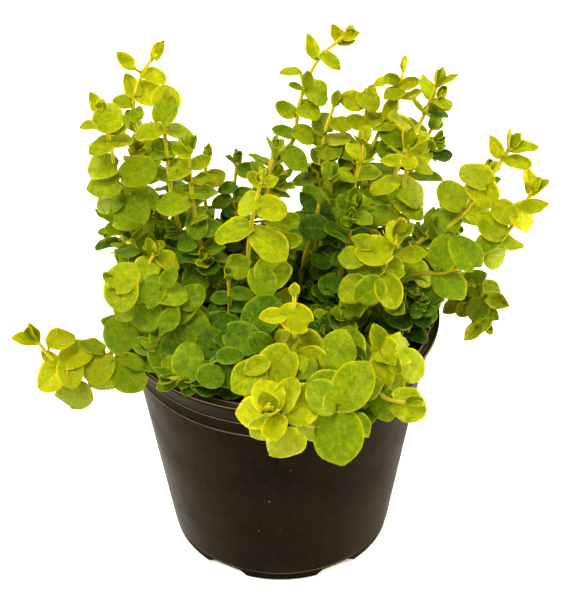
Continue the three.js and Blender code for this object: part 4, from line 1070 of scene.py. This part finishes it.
def make_shoot(name, stem, leaves, materials):
    """One shoot as a single mesh: its stem and side stems, and its leaves."""
    parts = []
    for part in (stem, *stem.branches):
        points, faces = stem_points(part)
        grown = np.linspace(0, 1, len(points))
        tone = 0.15 + (0.35 + 0.5 * part.tone) * np.minimum(1, 1.6 * grown)
        parts.append((points, faces, tone, 0, np.zeros((len(points), 3))))
    stem_faces = sum(len(faces) for _, faces, *_ in parts)
    blade_faces = shell_faces(BLADE_ROWS + 2, COLUMNS).tolist()
    for leaf in leaves:
        points, places = leaf_points(leaf)
        parts.append((points, blade_faces, leaf["tone"], leaf["age"], places))
    points, part_faces, tones, ages, places = zip(*parts)
    faces = []
    first = 0
    for part_points, quads in zip(points, part_faces):
        faces += [[first + i for i in face] for face in quads]
        first += len(part_points)
    piece = make_object(name, np.concatenate(points), faces, materials)
    of_leaves = np.arange(len(faces)) >= stem_faces
    piece.data.polygons.foreach_set("material_index", of_leaves.astype(np.int32))
    for kind, values in (("tone", tones), ("age", ages)):
        values = [np.broadcast_to(value, len(part)) for value, part in zip(values, points)]
        add_floats(piece.data, kind, np.concatenate(values))
    add_vectors(piece.data, "leaf_place", np.concatenate(places))
    return piece


def all_stems():
    """Each CAD shoot's stem and habit by name, on the same route."""
    grown = {}
    for name, (root, *habit, through) in SHOOTS.items():
        foot = (*root, soil_height(*root) - ROOT_DEPTH)
        grown[f"shoot_{name}"] = (Stem([foot, *through], STEM_RADII), *habit)
    for i in range(LOW_SPIRAL["count"]):
        name = f"shoot_low_{i + 1:02d}"
        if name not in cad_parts:
            continue
        radius = math.sqrt((i + 0.6) / LOW_SPIRAL["count"]) * LOW_SPIRAL["reach"]
        angle = i * GOLDEN_ANGLE + LOW_SPIRAL["turn"]
        x, y = radius * math.cos(angle), radius * math.sin(angle)
        foot = soil_height(x, y)
        route = [(x, y, foot - ROOT_DEPTH)]
        for share in (0.5, 1):
            lean = 1 + LOW_SPIRAL["lean"] * share**2
            route.append((x * lean, y * lean, foot + LOW_SPIRAL["height"] * share))
        grown[name] = (Stem(route, LOW_RADII), *LOW_SHOOT, 40 * i, LOW_TONE)
    return grown


def grow_all(grown):
    """Adds every leaf: first the set ones, then the others where there is room."""
    crown = Crown()
    for owner, (stem, *_) in enumerate(grown.values()):
        crown.add_stem(stem, owner)
    for owner, (name, (stem, *_, tone)) in enumerate(grown.items()):
        stem.tone = tone
        stem.age = WEATHERED.get(name, 0)
        place_leaves(crown, stem, owner, set_leaves(name)[1])
    for owner, (name, (stem, *habit, _)) in enumerate(grown.items()):
        pairs = set_leaves(name)[0]
        grow(crown, stem, owner, 100 + owner, pairs, *habit, BARE_FOOT, SIDE_SHOOT_SHARE)
    return crown


def set_leaves(name):
    return SET_LEAVES.get(name.replace("shoot_", ""), (ALL_PAIRS, []))


def color_leaves(crown):
    """Gives each leaf its tone and its age: lighter near the tip, and deeper green under the leaves that
    stand between it and the light, partly the plant's greener shade leaves and partly painted shade.
    """
    chance = random.Random(3)
    start, end = TONE_RANGE
    for leaf, cover in zip(crown.leaves, shade(crown)):
        # Painted shade: a leaf's tone is darkened by the leaves standing above it toward the light.
        exposed = math.exp(-COVER_FADE * cover)
        tone = leaf["stem"].tone - TONE_FALL * min(start + leaf["down"], end)
        tone = 0.08 + 0.92 * tone * (0.35 + 0.65 * exposed) + chance.uniform(-0.08, 0.08)
        leaf["tone"] = min(1, max(0, tone))
        own_age = chance.uniform(-1.2, 0.6) if leaf["pair"] > OLD_PAIR else 0
        leaf["age"] = max(leaf["stem"].age, own_age)


def make_plant():
    grown = all_stems()
    crown = grow_all(grown)
    color_leaves(crown)
    materials = [stem_material(), leaf_material()]
    pieces = []
    for name, (stem, *_) in grown.items():
        stems = [stem, *stem.branches]
        leaves = [leaf for leaf in crown.leaves if leaf["stem"] in stems]
        piece = make_shoot(name.replace("shoot_", "grown_"), stem, leaves, materials)
        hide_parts(name)
        pieces.append(piece)
    return pieces


# ---- Floor and light ----


def add_floor():
    half = FLOOR_SIZE / 2
    corners = [(-half, -half, 0), (half, -half, 0), (half, half, 0), (-half, half, 0)]
    make_object("floor", corners, [[0, 1, 2, 3]], [floor_material()])


def add_area_light(name, place, size, power, color):
    """A lamp that shines on the plant, with its place and size in metres and its power in watts."""
    light = bpy.data.lights.new(name, "AREA")
    light.shape = "RECTANGLE"
    light.size, light.size_y = size
    light.energy = power
    light.color = color
    lamp = bpy.data.objects.new(name, light)
    lamp.location = place
    lamp.rotation_euler = (LAMP_AIM - Vector(place)).to_track_quat("-Z", "Y").to_euler()
    bpy.context.scene.collection.objects.link(lamp)


def add_lights():
    add_area_light("key", (-0.6, -1.1, 2.3), (1.0, 1.0), 68, WARM)
    add_area_light("left_box", (-1.1, 0.1, 0.35), (0.35, 0.9), 22, AMBER)
    add_area_light("right_box", (1.1, 0.0, 0.38), (0.35, 0.9), 28, AMBER)
    add_area_light("back_top", (0.3, 1.4, 1.9), (1.2, 0.8), 22, WARM)
    bpy.context.scene.view_settings.view_transform = "Standard"


def add_world():
    """A white backdrop that adds only a little soft light."""
    world = bpy.data.worlds.new("world")
    nodes = Nodes(world)
    soft = nodes.tree.nodes["Background"]
    nodes.feed(soft, {"Color": (1, 1, 1), "Strength": 0.3})
    backdrop = nodes.add("ShaderNodeBackground", {"Color": (1, 1, 1)})
    seen = nodes.add("ShaderNodeLightPath", {}).outputs["Is Camera Ray"]
    both = nodes.add("ShaderNodeMixShader", {"Fac": seen, 1: soft.outputs[0], 2: backdrop.outputs[0]})
    nodes.feed(nodes.tree.nodes["World Output"], {"Surface": both.outputs[0]})
    bpy.context.scene.world = world


# ---- Put together ----

add_camera()
add_floor()
add_lights()
add_world()

pot = make_pot()
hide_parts("nursery_pot")
soil = make_soil()
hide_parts("potting_mix")
crumbs = make_crumbs()
chip = make_chip()
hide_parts("bark_chip")
for piece in (pot, soil, crumbs, chip, *make_plant()):
    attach(piece, "root")
